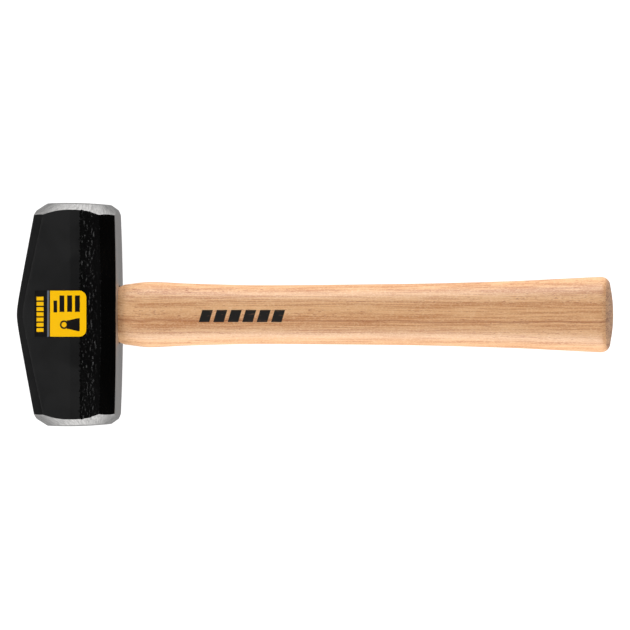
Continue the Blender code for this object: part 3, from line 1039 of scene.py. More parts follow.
@dataclass(frozen=True)
class Head:
    """The forged octagonal head with its two turned striking ends."""

    eye: Eye = field(default_factory=Eye)
    length: float = 0.0998
    depth: float = 0.0366
    top_side: float = 0.0268
    top_taper: float = math.radians(10.7)
    top_round: float = 0.0042
    underside: float = 0.0181
    underside_fall: float = 0.0010
    cheek_ridge: float = -0.0020
    cheek_draft: float = math.radians(7.4)
    top_corner_end: float = 0.0048
    top_corner_middle: float = 0.0030
    grip_corner: float = 0.0065
    grip_corner_end: float = 0.0065
    grip_corner_middle: float = 0.0042
    corner_radius: float = 0.0009
    face_radius: float = 0.0143
    face_flat: float = 0.0040
    face_crown: float = 0.1900
    face_chamfer: float = math.radians(34.0)
    face_edge: float = 0.0016
    toe_in: float = math.radians(1.6)
    scale_start: float = 0.0022  # where the ground part of a cheek ends and the scale begins
    scale_lip: float = 0.00014
    scale_margin: float = 0.0007  # smooth metal between the scale and the grip-side corner
    scale_jag: float = 0.00045  # how far the scale's ragged start wanders
    scale_jag_size: float = 0.0011
    scale_ramp: float = 0.00025
    scale_fade: float = 0.0030  # over which the relief dies out towards the corner
    scale_recess: float = 0.00010
    scale_relief: float = 0.00044
    scale_size: float = 0.0013
    scale_stretch: float = 0.62  # below 1, the pits are longer along the strike axis
    scale_floor: float = 0.42  # the level at which a pit's flank flattens out
    hair: float = 1e-6
    rounded_steps: int = 4
    rows: int = 300
    cone_rows: int = 6
    edge_rows: int = 4
    crown_rows: int = 8
    boundary_halvings: int = 26

    def top_side_at(self, y: np.ndarray) -> np.ndarray:
        """Distance from the strike axis to the top side: two falls and a rounded peak."""
        run = np.hypot(y, self.top_round) - self.top_round
        return self.top_side - math.tan(self.top_taper) * run

    def underside_at(self, y: np.ndarray) -> np.ndarray:
        """Distance from the strike axis to the slightly swelled underside."""
        return self.underside - self.underside_fall * (2 * y / self.length) ** 2

    def to_end(self, y: np.ndarray, middle: float, end: float) -> np.ndarray:
        """A size that goes straight from its value at the middle to its value at the ends."""
        return middle + (end - middle) * np.minimum(np.abs(2 * y / self.length), 1.0)

    def cheek_height(self, x: np.ndarray) -> np.ndarray:
        """Half the depth at x: level near the handle, falling with the draft past the ridge."""
        fall = math.tan(self.cheek_draft) * np.maximum(self.cheek_ridge - x, 0.0)
        return self.depth / 2 - fall

    def corners(self, y: np.ndarray) -> list[Corner]:
        """The section's corners about the head's middle, going round once.

        Args:
            y: the places along the strike axis.

        Returns:
            The corners, each with its arc and the flat that follows it.
        """
        under = self.underside_at(y)
        top = self.top_side_at(y)
        shoulder = self.to_end(y, self.top_corner_middle, self.top_corner_end)
        grip = self.to_end(y, self.grip_corner_middle, self.grip_corner_end)
        level = np.full_like(y, self.depth / 2)
        turn = under - self.grip_corner
        fall = self.cheek_height(shoulder - top)
        rounded = self.rounded_steps
        # Each corner's x and z, the steps of its arc, and those of the flat that follows it.
        places = [
            (under, level - grip, rounded, 8),
            (turn, level, rounded, 2),
            (turn - self.scale_margin, level, 0, 28),
            (np.full_like(y, self.scale_start + self.scale_lip), level, 0, 1),
            (np.full_like(y, self.scale_start), level, 0, 4),
            (np.full_like(y, self.cheek_ridge), level, 2, 16),
            (shoulder - top, fall, rounded, 5),
            (-top, fall - shoulder, rounded, 22),
        ]
        underside_steps = 24
        upper = [Corner(*place) for place in places]
        # A mirrored corner is followed by the flat that came before it.
        steps = [underside_steps, *(corner.flat_steps for corner in upper[:-1])]
        pairs = zip(reversed(upper), reversed(steps))
        lower = [Corner(c.x, -c.z, c.arc_steps, flat) for c, flat in pairs]
        return upper + lower

    def columns(self) -> list[Column]:
        """The lengthwise lines of the grid, in order round the section."""
        made = []
        for i, corner in enumerate(self.corners(np.zeros(1))):
            arc = corner.arc_steps
            made += [Column(i, True, step / max(arc, 1)) for step in range(arc + 1)]
            flat = corner.flat_steps
            made += [Column(i, False, step / flat) for step in range(1, flat)]
        return made

    def arc_points(self, corners: list[Corner], i: int, share: float) -> np.ndarray:
        """Points on the arc that rounds a corner.

        Args:
            corners: the section's corners.
            i: which corner.
            share: 0 at the arc's start and 1 at its end.

        Returns:
            Rows of x and z.
        """
        corner = corners[i]
        here = np.stack([corner.x, corner.z], axis=-1)
        if corner.arc_steps == 0:
            return here
        before = corners[i - 1]
        after = corners[(i + 1) % len(corners)]
        back = np.stack([before.x, before.z], axis=-1) - here
        ahead = np.stack([after.x, after.z], axis=-1) - here
        back /= np.linalg.norm(back, axis=1, keepdims=True)
        ahead /= np.linalg.norm(ahead, axis=1, keepdims=True)
        half_turn = np.arccos(np.clip((back * ahead).sum(axis=1), -1.0, 1.0))[:, None] / 2
        middle = (back + ahead) / (2 * np.cos(half_turn))
        centre = here + middle * self.corner_radius / np.sin(half_turn)
        setback = self.corner_radius / np.tan(half_turn)
        start = here + back * setback - centre
        end = here + ahead * setback - centre
        sweep = math.pi - 2 * half_turn
        return centre + (
            start * np.sin((1 - share) * sweep) + end * np.sin(share * sweep)
        ) / np.sin(sweep)

    def section(self, column: Column, y: np.ndarray) -> np.ndarray:
        """Points of the painted surface along one column.

        Args:
            column: which column.
            y: the places along the strike axis.

        Returns:
            Rows of x and z about the head's middle.
        """
        corners = self.corners(y)
        if column.on_arc:
            points = self.arc_points(corners, column.corner, column.share)
        else:
            start = self.arc_points(corners, column.corner, 1.0)
            end = self.arc_points(corners, (column.corner + 1) % len(corners), 0.0)
            points = start + (end - start) * column.share
        return self.scaled(points, y)

    def scaled(self, points: np.ndarray, y: np.ndarray) -> np.ndarray:
        """Sinks the points that lie in a cheek's band of forge scale."""
        made = points.copy()
        limit = self.underside_at(y) - self.grip_corner - self.scale_margin
        level = np.abs(points[:, 1]) > self.depth / 2 - self.hair
        start = self.scale_start + self.scale_lip - self.hair
        in_band = level & (points[:, 0] > start) & (points[:, 0] < limit - self.hair)
        for i in np.flatnonzero(in_band):
            x, z = points[i]
            cheek = math.copysign(5.0, z)  # so that the two cheeks differ
            jag = 1.0 + noise.noise(Vector((y[i] / self.scale_jag_size, cheek, 0.0)))
            entry = (x - self.scale_start - jag * self.scale_jag) / self.scale_ramp
            fade = max(0.0, min(1.0, entry, (limit[i] - x) / self.scale_fade))
            made[i, 1] = z - math.copysign(fade * self.scale_depth(x, y[i], z > 0), z)
        return made

    def scale_depth(self, x: float, y: float, upper: bool) -> float:
        """How far the forge scale lies below the ground cheek: pits between wandering ridges."""
        layer = 0.05 if upper else 0.35  # so that the two cheeks differ
        place = Vector((x, y * self.scale_stretch, layer)) / self.scale_size
        warp = noise.noise_vector(place * 0.6) * 0.55
        ridge = abs(noise.noise(place + warp))
        lumps = noise.noise(place * 0.37 + Vector((3.1, 1.7, 0.0)))
        fine = noise.noise(place * 2.3 + Vector((9.2, 4.4, 0.0)))
        depth = 1.5 * min(ridge, self.scale_floor) + 0.35 * lumps + 0.16 * fine
        return self.scale_recess + self.scale_relief * max(0.0, depth)

    def to_axis(self, x: Any, y: Any) -> tuple[Any, Any]:
        """A place at the upper end in the leaning coordinates of its turned axis."""
        cosine = math.cos(self.toe_in)
        sine = math.sin(self.toe_in)
        run = y - self.length / 2
        return x * cosine - run * sine, x * sine + run * cosine

    def from_axis(self, across: float, along: float) -> tuple[float, float]:
        """The reverse of to_axis."""
        cosine = math.cos(self.toe_in)
        sine = math.sin(self.toe_in)
        return across * cosine + along * sine, self.length / 2 + along * cosine - across * sine

    def end_profile(self) -> list[tuple[float, float]]:
        """The turned end from its cone to its flat, as radius and height over the face."""
        setback = self.face_edge * math.tan(self.face_chamfer / 2)
        profile = []
        for step in range(self.edge_rows, -1, -1):
            angle = self.face_chamfer * step / self.edge_rows
            radius = self.face_radius - setback + self.face_edge * math.sin(angle)
            drop = self.crown_drop(self.face_radius) + self.face_edge * (1 - math.cos(angle))
            profile.append((radius, -drop))
        inner = self.face_radius - setback
        for step in range(1, self.crown_rows + 1):
            radius = inner + (self.face_flat - inner) * step / self.crown_rows
            profile.append((radius, -self.crown_drop(radius)))
        return profile

    def crown_drop(self, radius: float) -> float:
        """How far the crowned face lies below its centre at the radius."""
        return (radius**2 - self.face_flat**2) / (2 * self.face_crown)

    def outside_cone(self, column: Column, y: float) -> bool:
        """Whether the column has passed through the upper end's cone at y."""
        x, z = self.section(column, np.array([y]))[0]
        across, along = self.to_axis(x, y)
        edge_radius, edge_height = self.end_profile()[0]
        radius = math.hypot(across, z)
        return along > edge_height - (radius - edge_radius) * math.tan(self.face_chamfer)

    def boundary(self, column: Column) -> float:
        """Where along Y the column meets the cone."""
        low = self.length * 0.3
        high = self.length * 0.5
        for _ in range(self.boundary_halvings):
            middle = (low + high) / 2
            if self.outside_cone(column, middle):
                high = middle
            else:
                low = middle
        return (low + high) / 2

    def side_grid(self, columns: list[Column]) -> np.ndarray:
        """The painted surface as an array of rows, columns and x, y, z."""
        shares = np.linspace(-1.0, 1.0, self.rows + 1)
        grid = np.empty((self.rows + 1, len(columns), 3))
        for j, column in enumerate(columns):
            y = shares * self.boundary(column)
            grid[:, j, 1] = y
            points = self.section(column, y)
            grid[:, j, 0] = points[:, 0]
            grid[:, j, 2] = points[:, 1] + MIDDLE_HEIGHT
        return grid

    def end_rings(self, edge: np.ndarray, side: int) -> list[np.ndarray]:
        """The rings of one striking end, from the paint's edge inwards.

        Args:
            edge: the grid's last row on that side.
            side: +1 or -1 along Y.

        Returns:
            The rings, without the edge itself.
        """
        across, along = self.to_axis(edge[:, 0], edge[:, 1] * side)
        height = edge[:, 2] - MIDDLE_HEIGHT
        radius = np.hypot(across, height)
        profile = self.end_profile()
        rings = []
        for step in range(1, self.cone_rows):
            share = step / self.cone_rows
            reach = radius + (profile[0][0] - radius) * share
            rise = along + (profile[0][1] - along) * share
            rings.append(self.ring_at(across / radius, height / radius, reach, rise, side))
        for reach, rise in profile:
            rings.append(self.ring_at(across / radius, height / radius, reach, rise, side))
        return rings

    def ring_at(self, cosine: np.ndarray, sine: np.ndarray, reach: Any, rise: Any,
                side: int) -> np.ndarray:
        """One ring about the turned axis.

        Args:
            cosine: each point's share of the radius across the axis.
            sine: its share upwards.
            reach: the radius.
            rise: the height over the face's centre.
            side: +1 or -1 along Y.

        Returns:
            Rows of x, y and z.
        """
        x, y = self.from_axis(cosine * reach, rise)
        return np.stack([x, y * side, MIDDLE_HEIGHT + sine * reach], axis=-1)

    def on_underside(self, column: Column) -> bool:
        """Whether the strip that follows the column is on the bare underside."""
        grinding = 0.75  # the share of each corner's arc that the grinder has reached
        last = len(self.corners(np.zeros(1))) - 1
        if column.corner == last:
            return not column.on_arc or column.share >= 1.0 - grinding
        return column.corner == 0 and column.on_arc and column.share < grinding

    def blank(self) -> bpy.types.Object:
        """The head before its eye is cut."""
        columns = self.columns()
        grid = self.side_grid(columns)
        count = len(columns)
        bands = [("side", grid[k]) for k in range(self.rows + 1)]
        upper = [("end", ring) for ring in self.end_rings(grid[-1], 1)]
        lower = [("end", ring) for ring in self.end_rings(grid[0], -1)]
        rows = [*reversed(lower), *bands, *upper]
        points = np.concatenate([ring for _, ring in rows])
        faces = []
        zones = []
        bare = [self.on_underside(column) for column in columns]
        for k in range(len(rows) - 1):
            painted = rows[k][0] == "side" and rows[k + 1][0] == "side"
            for i in range(count):
                a = k * count + i
                b = k * count + (i + 1) % count
                faces.append((a, b, b + count, a + count))
                zone = Zone.ENAMEL if painted and not bare[i] else Zone.GROUND
                zones.append(zone.value)
        centres = []
        for side, first in ((-1, 0), (1, (len(rows) - 1) * count)):
            x, y = self.from_axis(0.0, 0.0)
            centres.append((x, y * side, MIDDLE_HEIGHT))
            pole = len(points) + len(centres) - 1
            for i in range(count):
                faces.append((first + i, first + (i + 1) % count, pole))
                zones.append(Zone.GROUND.value)
        head = mesh_object("hammer_head", [*points.tolist(), *centres], faces)
        head.data.polygons.foreach_set("material_index", zones)
        return head

    def eye_cutter(self) -> bpy.types.Object:
        """The eye's hole, with a rounded rim that follows the surface at each end."""
        oval = unit_oval(self.eye.points)
        rings = []
        rim = self.eye.rim
        lift = 0.00002  # keeps the rim's ring off the surface itself

        def ring(outwards: int, depth: float, growth: float) -> list[tuple[float, float, float]]:
            """A ring at a depth below the surface, wider than the wall by the growth."""
            surface = self.underside_at if outwards > 0 else self.top_side_at
            a, b = self.eye.half_size(outwards * float(surface(np.zeros(1))[0]))
            made = []
            for y, z in oval:
                wide = y * (a + growth)
                level = float(surface(np.array([wide]))[0])
                made.append((outwards * (level - depth), wide, MIDDLE_HEIGHT + z * (b + growth)))
            return made

        for outwards in (1, -1):
            group = [ring(outwards, -self.eye.overrun, rim * self.eye.flare)]
            for step in range(self.eye.rim_steps + 1):
                angle = math.pi / 2 * step / self.eye.rim_steps
                depth = rim * (1 - math.cos(angle)) - lift
                group.append(ring(outwards, depth, rim * (1 - math.sin(angle))))
            rings += group if outwards > 0 else group[::-1]
        cutter = lofted("eye_cutter", rings)
        for _ in Zone:
            cutter.data.materials.append(None)
        indices = np.full(len(cutter.data.polygons), Zone.BORE.value)
        cutter.data.polygons.foreach_set("material_index", indices)
        return cutter

    def restore_zones(self, mesh: bpy.types.Mesh, finishes: list[bpy.types.Material]) -> None:
        """Gives the cut mesh its own slots again, with the eye's wall in its finish.

        Args:
            mesh: the cut head.
            finishes: the materials in the order of the zones.
        """
        count = len(mesh.polygons)
        zones = np.empty(count, dtype=np.int32)
        mesh.polygons.foreach_get("material_index", zones)
        centres = np.empty(count * 3)
        mesh.polygons.foreach_get("center", centres)
        x, y, z = centres.reshape(-1, 3).T
        # The wall's finish ends half-way over the rounded rim.
        grown = 1.0 + 0.5 * self.eye.rim / self.eye.half_size(self.eye.under)[1]
        a, b = self.eye.half_size(x)
        reach = np.abs(y / (a * grown)) ** OVAL_POWER
        reach += np.abs((z - MIDDLE_HEIGHT) / (b * grown)) ** OVAL_POWER
        zones[reach < 1.0] = Zone.BORE.value
        mesh.materials.clear()
        for finish in finishes:
            mesh.materials.append(finish)
        mesh.polygons.foreach_set("material_index", np.minimum(zones, Zone.BORE.value))

    def edge_mask(self, places: np.ndarray) -> np.ndarray:
        """How close each place is to one of the section's rounded corners, from 0 to 1."""
        nearest = np.full(len(places), np.inf)
        for corner in self.corners(places[:, 1]):
            if corner.arc_steps < self.rounded_steps:
                continue
            away = np.hypot(places[:, 0] - corner.x, places[:, 2] - MIDDLE_HEIGHT - corner.z)
            nearest = np.minimum(nearest, away)
        return np.exp(-((nearest / self.corner_radius) ** 2))

    def build(self, finishes: list[bpy.types.Material]) -> bpy.types.Object:
        """Makes the head, cuts its eye and hands it over.

        Args:
            finishes: the materials in the order of the zones.

        Returns:
            The finished piece.
        """
        head = self.blank()
        for finish in finishes:
            head.data.materials.append(finish)
        cut(head, self.eye_cutter())
        self.restore_zones(head.data, finishes)
        write_edge(head.data, self.edge_mask(vertex_places(head.data)))
        smooth(head, 42.0)
        hand_over(head, "head")
        return head


# ---------------------------------------------------------------------------------------------
# The handle


class LoftTree:
    """The Geometry Nodes tree that sweeps an oval along a spine of sized stations."""

    title = "oval loft"
    wave_rates = (16.0, 0.8, 0.8)  # along the spine, and round the unit circle

    def __init__(self) -> None:
        """Builds the tree."""
        self.tree = bpy.data.node_groups.new(self.title, "GeometryNodeTree")
        self.inlet("Geometry", "NodeSocketGeometry")
        self.inlet("Sides", "NodeSocketInt")
        self.inlet("Oval Power", "NodeSocketFloat")
        self.inlet("Centre Height", "NodeSocketFloat")
        self.inlet("Wave Height", "NodeSocketFloat")
        self.inlet("Wave Start", "NodeSocketFloat")
        self.inlet("Seed", "NodeSocketFloat")
        self.inlet("Finish", "NodeSocketMaterial")
        self.tree.interface.new_socket(
            "Geometry", in_out="OUTPUT", socket_type="NodeSocketGeometry"
        )
        self.weave(Graph(self.tree))

    def inlet(self, name: str, kind: str) -> None:
        """Adds one named input."""
        self.tree.interface.new_socket(name, in_out="INPUT", socket_type=kind)

    def weave(self, graph: Graph) -> None:
        """Adds the nodes: a round sweep, the move onto the oval, and a slight unevenness.

        Args:
            graph: the tree.
        """
        entry = graph.add("NodeGroupInput").outputs
        spine = graph.add("GeometryNodeMeshToCurve", {"Mesh": entry["Geometry"]}).outputs[0]
        circle = graph.add("GeometryNodeCurvePrimitiveCircle", {"Resolution": entry["Sides"]})
        circle.inputs["Radius"].default_value = 1.0
        sweep = graph.add(
            "GeometryNodeCurveToMesh",
            {"Curve": spine, "Profile Curve": circle.outputs["Curve"], "Fill Caps": True},
        )
        x, y, z = graph.split(graph.add("GeometryNodeInputPosition").outputs[0])
        exponent = graph.maths("DIVIDE", 2.0, entry["Oval Power"])
        half_width = self.station_value(graph, "half_width")
        half_thickness = self.station_value(graph, "half_thickness")
        place = graph.stretched(graph.vector(x, y, z), self.wave_rates)
        uneven = graph.add(
            "ShaderNodeTexNoise",
            {"Vector": place, "W": entry["Seed"], "Scale": 1.0, "Detail": 2.0},
            noise_dimensions="4D",
        ).outputs["Fac"]
        wave = graph.product(graph.maths("SUBTRACT", uneven, 0.5), entry["Wave Height"])
        past = graph.maths("SUBTRACT", x, entry["Wave Start"])
        swell = graph.product(wave, graph.rise(past, 0.0, 0.02))
        across = self.on_oval(graph, y, exponent, graph.total(half_width, swell))
        upward = self.on_oval(graph, z, exponent, graph.total(half_thickness, swell))
        placed = graph.vector(x, across, graph.total(upward, entry["Centre Height"]))
        body = graph.add(
            "GeometryNodeSetPosition", {"Geometry": sweep.outputs[0], "Position": placed}
        ).outputs[0]
        real = graph.add("GeometryNodeRealizeInstances", {"Geometry": body}).outputs[0]
        dressed = graph.add(
            "GeometryNodeSetMaterial", {"Geometry": real, "Material": entry["Finish"]}
        )
        graph.add("NodeGroupOutput", {"Geometry": dressed.outputs[0]})

    def station_value(self, graph: Graph, name: str) -> Socket:
        """The value that the sweep carries over from its spine."""
        node = graph.add("GeometryNodeInputNamedAttribute", {"Name": name}, data_type="FLOAT")
        return node.outputs["Attribute"]

    def on_oval(self, graph: Graph, part: Socket, exponent: Value, half: Value) -> Socket:
        """Moves one part of a point on the unit circle onto the oval.

        Args:
            graph: the tree.
            part: the point's part, from -1 to 1.
            exponent: 2 over the oval's power.
            half: half the oval's size that way.

        Returns:
            The moved part.
        """
        size = graph.maths("POWER", graph.maths("ABSOLUTE", part), exponent)
        return graph.product(graph.maths("SIGN", part), size, half)

    def on(self, obj: bpy.types.Object, values: dict[str, Any]) -> None:
        """Sweeps the object's spine and keeps the result as its mesh.

        Args:
            obj: the object, whose mesh is the spine.
            values: values for the named inputs.
        """
        modifier = obj.modifiers.new(self.title, "NODES")
        modifier.node_group = self.tree
        for item in self.tree.interface.items_tree:
            if item.in_out == "INPUT" and item.name in values:
                modifier[item.identifier] = values[item.name]
        settle(obj)


@dataclass(frozen=True)
class Handle:
    """The hickory handle: a wedged tenon, a waisted grip and a flared butt."""

    eye: Eye = field(default_factory=Eye)
    length: float = 0.2209  # from the head's underside to the end of the butt
    front: tuple[Station, ...] = (
        Station(0.0023, 0.0268, 0.0192),
        Station(0.0135, 0.0292, 0.0222),
        Station(0.0316, 0.0277, 0.0213),
        Station(0.0640, 0.0263, 0.0204),
    )
    rear: tuple[Station, ...] = (  # measured back from the butt's end
        Station(0.0960, 0.0273, 0.0212),
        Station(0.0462, 0.0297, 0.0230),
        Station(0.0249, 0.0317, 0.0244),
        Station(0.0060, 0.0336, 0.0256),
    )
    butt_crown: float = 0.0600
    butt_edge: float = 0.0040
    tenon_recess: float = 0.0022
    tenon_gap: float = 0.00008
    tenon_ease: float = 0.0004  # the broken edge round its sawn end
    sides: int = 112
    body_steps: int = 150
    tenon_steps: int = 10
    edge_steps: int = 10
    crown_steps: int = 8
    wave_height: float = 0.00016
    wave_start: float = 0.004  # from the head's underside
    wave_seed: float = 4.0

    @property
    def end(self) -> float:
        """X of the butt's end."""
        return self.eye.under + self.length

    @property
    def tenon_end(self) -> float:
        """X of the tenon's sawn end."""
        return self.tenon_recess - self.eye.top

    def stations(self) -> list[Station]:
        """The handle's stations in order, all measured from the strike axis."""
        front = [s._replace(at=self.eye.under + s.at) for s in self.front]
        rear = [s._replace(at=self.end - s.at) for s in self.rear]
        return front + rear

    def smooth_value(self, x: float, places: list[float], values: list[float]) -> float:
        """The value at x on a cubic through the places that doesn't overshoot its values.

        Args:
            x: where it is read.
            places: the stations' places.
            values: their values.

        Returns:
            The value.
        """
        runs = [b - a for a, b in zip(places, places[1:])]
        rates = [(b - a) / run for a, b, run in zip(values, values[1:], runs)]
        inner = [
            2 * a * b / (a + b) if a * b > 0 else 0.0 for a, b in zip(rates, rates[1:])
        ]
        slopes = [rates[0], *inner, rates[-1]]
        i = min(max(sum(place <= x for place in places) - 1, 0), len(places) - 2)
        t = (x - places[i]) / runs[i]
        start = (1 + 2 * t) * (1 - t) ** 2 * values[i] + t * (1 - t) ** 2 * runs[i] * slopes[i]
        end = t**2 * (3 - 2 * t) * values[i + 1] + t**2 * (t - 1) * runs[i] * slopes[i + 1]
        return start + end

    def half_size(self, x: float) -> tuple[float, float]:
        """Half the handle's width and thickness at x, outside the head."""
        stations = self.stations()
        places = [s.at for s in stations]
        width = self.smooth_value(x, places, [s.width for s in stations])
        thickness = self.smooth_value(x, places, [s.thickness for s in stations])
        return width / 2, thickness / 2

    def spine(self) -> list[tuple[float, float, float]]:
        """The sized stations from the sawn tenon to the butt, as x, half-width, half-thickness."""
        made = []
        ease = self.tenon_ease
        for step in range(self.tenon_steps + 1):
            x = self.tenon_end + (self.eye.under - self.tenon_end) * step / self.tenon_steps
            a, b = self.eye.half_size(x)
            made.append((x, a - self.tenon_gap, b - self.tenon_gap))
        x, a, b = made[0]
        made[0] = (x, a - ease, b - ease)
        made.insert(1, (x + ease, a, b))
        start = self.eye.under + self.front[0].at
        a, b = self.half_size(self.end - self.rear[-1].at)
        crown_reach = a - self.butt_edge
        crown_drop = crown_reach**2 / (2 * self.butt_crown)
        edge_start = self.end - crown_drop - self.butt_edge
        for step in range(self.body_steps):
            x = start + (edge_start - start) * step / self.body_steps
            made.append((x, *self.half_size(x)))
        for step in range(self.edge_steps + 1):
            angle = math.pi / 2 * step / self.edge_steps
            inset = self.butt_edge * (1 - math.cos(angle))
            made.append((edge_start + self.butt_edge * math.sin(angle), a - inset, b - inset))
        for step in range(1, self.crown_steps + 1):
            share = 1 - step / (self.crown_steps + 0.5)
            x = self.end - crown_drop * share**2
            made.append((x, crown_reach * share, (b - self.butt_edge) * share))
        return made

    def build(self, finish: bpy.types.Material,
              cutters: list[bpy.types.Object]) -> bpy.types.Object:
        """Makes the handle, slots its tenon for the wedges and hands it over.

        Args:
            finish: the wood.
            cutters: the bodies that slot the tenon.

        Returns:
            The finished piece.
        """
        spine = self.spine()
        mesh = bpy.data.meshes.new("hickory_handle")
        links = [(i, i + 1) for i in range(len(spine) - 1)]
        mesh.from_pydata([(x, 0.0, 0.0) for x, _, _ in spine], links, [])
        for column, name in ((1, "half_width"), (2, "half_thickness")):
            layer = mesh.attributes.new(name, "FLOAT", "POINT")
            layer.data.foreach_set("value", [station[column] for station in spine])
        handle = link_mesh("hickory_handle", mesh)
        values = {
            "Sides": self.sides,
            "Oval Power": OVAL_POWER,
            "Centre Height": MIDDLE_HEIGHT,
            "Wave Height": self.wave_height,
            "Wave Start": self.eye.under + self.wave_start,
            "Seed": self.wave_seed,
            "Finish": finish,
        }
        LoftTree().on(handle, values)
        cut(handle, *cutters)
        smooth(handle, 40.0)
        hand_over(handle, "handle")
        return handle


# ---------------------------------------------------------------------------------------------
# The wedges


@dataclass(frozen=True)
class Wedge:
    """A wedge driven along +X from the tenon's sawn end."""

    name: str
    length: float
    head: float
    tip: float
    breadth: float
    across: Across
    offset: float = 0.0
    start: float = -0.0246
    proud: float = 0.0
    dent: float = 0.0
    dent_rate: float = 900.0
    rounding: float = 0.0002
    worn_rim: float = 0.0003
    worn_depth: float = 0.0006
    steps: int = 12
    arc_steps: int = 2

    def half_sizes(self, x: float, gap: float) -> tuple[float, float]:
        """Half the wedge's size along Y and along Z at x, with a gap added."""
        taper = (self.head - self.tip) / self.length
        thin = (self.head - taper * (x - self.start)) / 2 + gap
        wide = self.breadth / 2 + gap
        return (thin, wide) if self.across is Across.STRIKE_AXIS else (wide, thin)

    def slot(self, gap: float, overrun: float, breadth: float | None = None) -> bpy.types.Object:
        """The body that cuts the wedge's slot.

        Args:
            gap: the clearance all round.
            overrun: how far it passes the sawn end.
            breadth: the slot's breadth, where it isn't the wedge's.

        Returns:
            The cutter.
        """
        rings = []
        for x in (self.start - overrun, self.start + self.length + gap):
            a, b = self.half_sizes(x, gap)
            if breadth is not None:
                a = breadth / 2
            corners = ((-a, -b), (a, -b), (a, b), (-a, b))
            rings.append([(x, self.offset + y, MIDDLE_HEIGHT + z) for y, z in corners])
        return lofted(f"{self.name}_slot", rings)

    def outline(self, a: float, b: float) -> list[tuple[float, float]]:
        """The wedge's rounded section, as (y, z) pairs, with points along each side."""
        r = self.rounding
        pairs = []
        corners = ((1, 1, 0), (-1, 1, 90), (-1, -1, 180), (1, -1, 270))
        for index, (side_y, side_z, first) in enumerate(corners):
            for step in range(self.arc_steps + 1):
                angle = math.radians(first + 90 * step / self.arc_steps)
                y = side_y * (a - r) + r * math.cos(angle)
                z = side_z * (b - r) + r * math.sin(angle)
                pairs.append((y, z))
            after = corners[(index + 1) % len(corners)]
            next_angle = math.radians(after[2])
            goal_y = after[0] * (a - r) + r * math.cos(next_angle)
            goal_z = after[1] * (b - r) + r * math.sin(next_angle)
            last_y, last_z = pairs[-1]
            for step in range(1, self.steps):
                share = step / self.steps
                pairs.append((last_y + (goal_y - last_y) * share, last_z + (goal_z - last_z) * share))
        return pairs

    def build(self, finish: bpy.types.Material, node: str, slot: str,
              cutters: list[bpy.types.Object]) -> bpy.types.Object:
        """Makes the wedge with its battered end and hands it over.

        Args:
            finish: the wedge's material.
            node: the CAD node that it stands for.
            slot: a material slot's name, which is not used.
            cutters: the bodies that split it.

        Returns:
            The finished piece.
        """
        first = self.start - self.proud
        rings = []
        # The battered end: rings that close in over the end, then the wedge's flanks.
        for share in (0.25, 0.5, 0.75, 0.93):
            a, b = self.half_sizes(first, 0.0)
            shrunk = [(y * share, z * share) for y, z in self.outline(a, b)]
            rings.append([self.dented(first, y, z) for y, z in shrunk])
        for step in range(self.steps + 1):
            x = first + self.rounding + (self.length - self.rounding) * (step / self.steps) ** 1.5
            a, b = self.half_sizes(x, 0.0)
            rings.append([(x, self.offset + y, MIDDLE_HEIGHT + z) for y, z in self.outline(a, b)])
        wedge = lofted(self.name, rings)
        wedge.data.materials.append(finish)
        if cutters:
            cut(wedge, *cutters)
        places = vertex_places(wedge.data)
        a, b = self.half_sizes(first, 0.0)
        to_rim = np.minimum(
            a - np.abs(places[:, 1] - self.offset), b - np.abs(places[:, 2] - MIDDLE_HEIGHT)
        )
        near_end = np.exp(-np.maximum(places[:, 0] - first, 0.0) / self.worn_depth)
        write_edge(wedge.data, np.exp(-np.maximum(to_rim, 0.0) / self.worn_rim) * near_end)
        smooth(wedge, 38.0)
        hand_over(wedge, node)
        return wedge

    def dented(self, x: float, y: float, z: float) -> tuple[float, float, float]:
        """A point of the battered end, sunk a little by the blows."""
        here = Vector((y + self.offset, z, 0.3)) * self.dent_rate
        sunk = self.dent * (0.5 + 0.5 * noise.noise(here))
        return x + sunk, self.offset + y, MIDDLE_HEIGHT + z


@dataclass(frozen=True)
class WedgeSet:
    """One wood wedge along the tenon and two steel ones across it."""

    fit: float = 0.00004
    overrun: float = 0.0040
    kerf_breadth: float = 0.0340
    wood: Wedge = Wedge("wood_wedge_piece", 0.0260, 0.0048, 0.0012, 0.0245, Across.DEPTH,
                        dent=0.0004, rounding=0.00025)
    steel: tuple[Wedge, ...] = (
        Wedge("steel_wedge_upper", 0.0170, 0.0024, 0.0008, 0.0130, Across.STRIKE_AXIS,
              offset=0.0062, proud=-0.0002, dent=0.0003),
        Wedge("steel_wedge_lower", 0.0170, 0.0024, 0.0008, 0.0130, Across.STRIKE_AXIS,
              offset=-0.0062, proud=0.0003, dent=0.0003),
    )

    def slots_in_tenon(self) -> list[bpy.types.Object]:
        """The bodies that slot the tenon: the kerf runs right across it."""
        kerf = self.wood.slot(self.fit, self.overrun, breadth=self.kerf_breadth)
        return [kerf, *(wedge.slot(self.fit, self.overrun) for wedge in self.steel)]

    def build(self, wood: bpy.types.Material, steel: bpy.types.Material) -> None:
        """Makes the three wedges.

        Args:
            wood: the wood wedge's material.
            steel: the steel wedges' material.
        """
        splits = [wedge.slot(self.fit, self.overrun) for wedge in self.steel]
        self.wood.build(wood, "wood_wedge", "wedge_wood", splits)
        for number, wedge in enumerate(self.steel, start=1):
            wedge.build(steel, f"steel_wedge_{number}", "wedge_steel", [])


# ---------------------------------------------------------------------------------------------
# The label


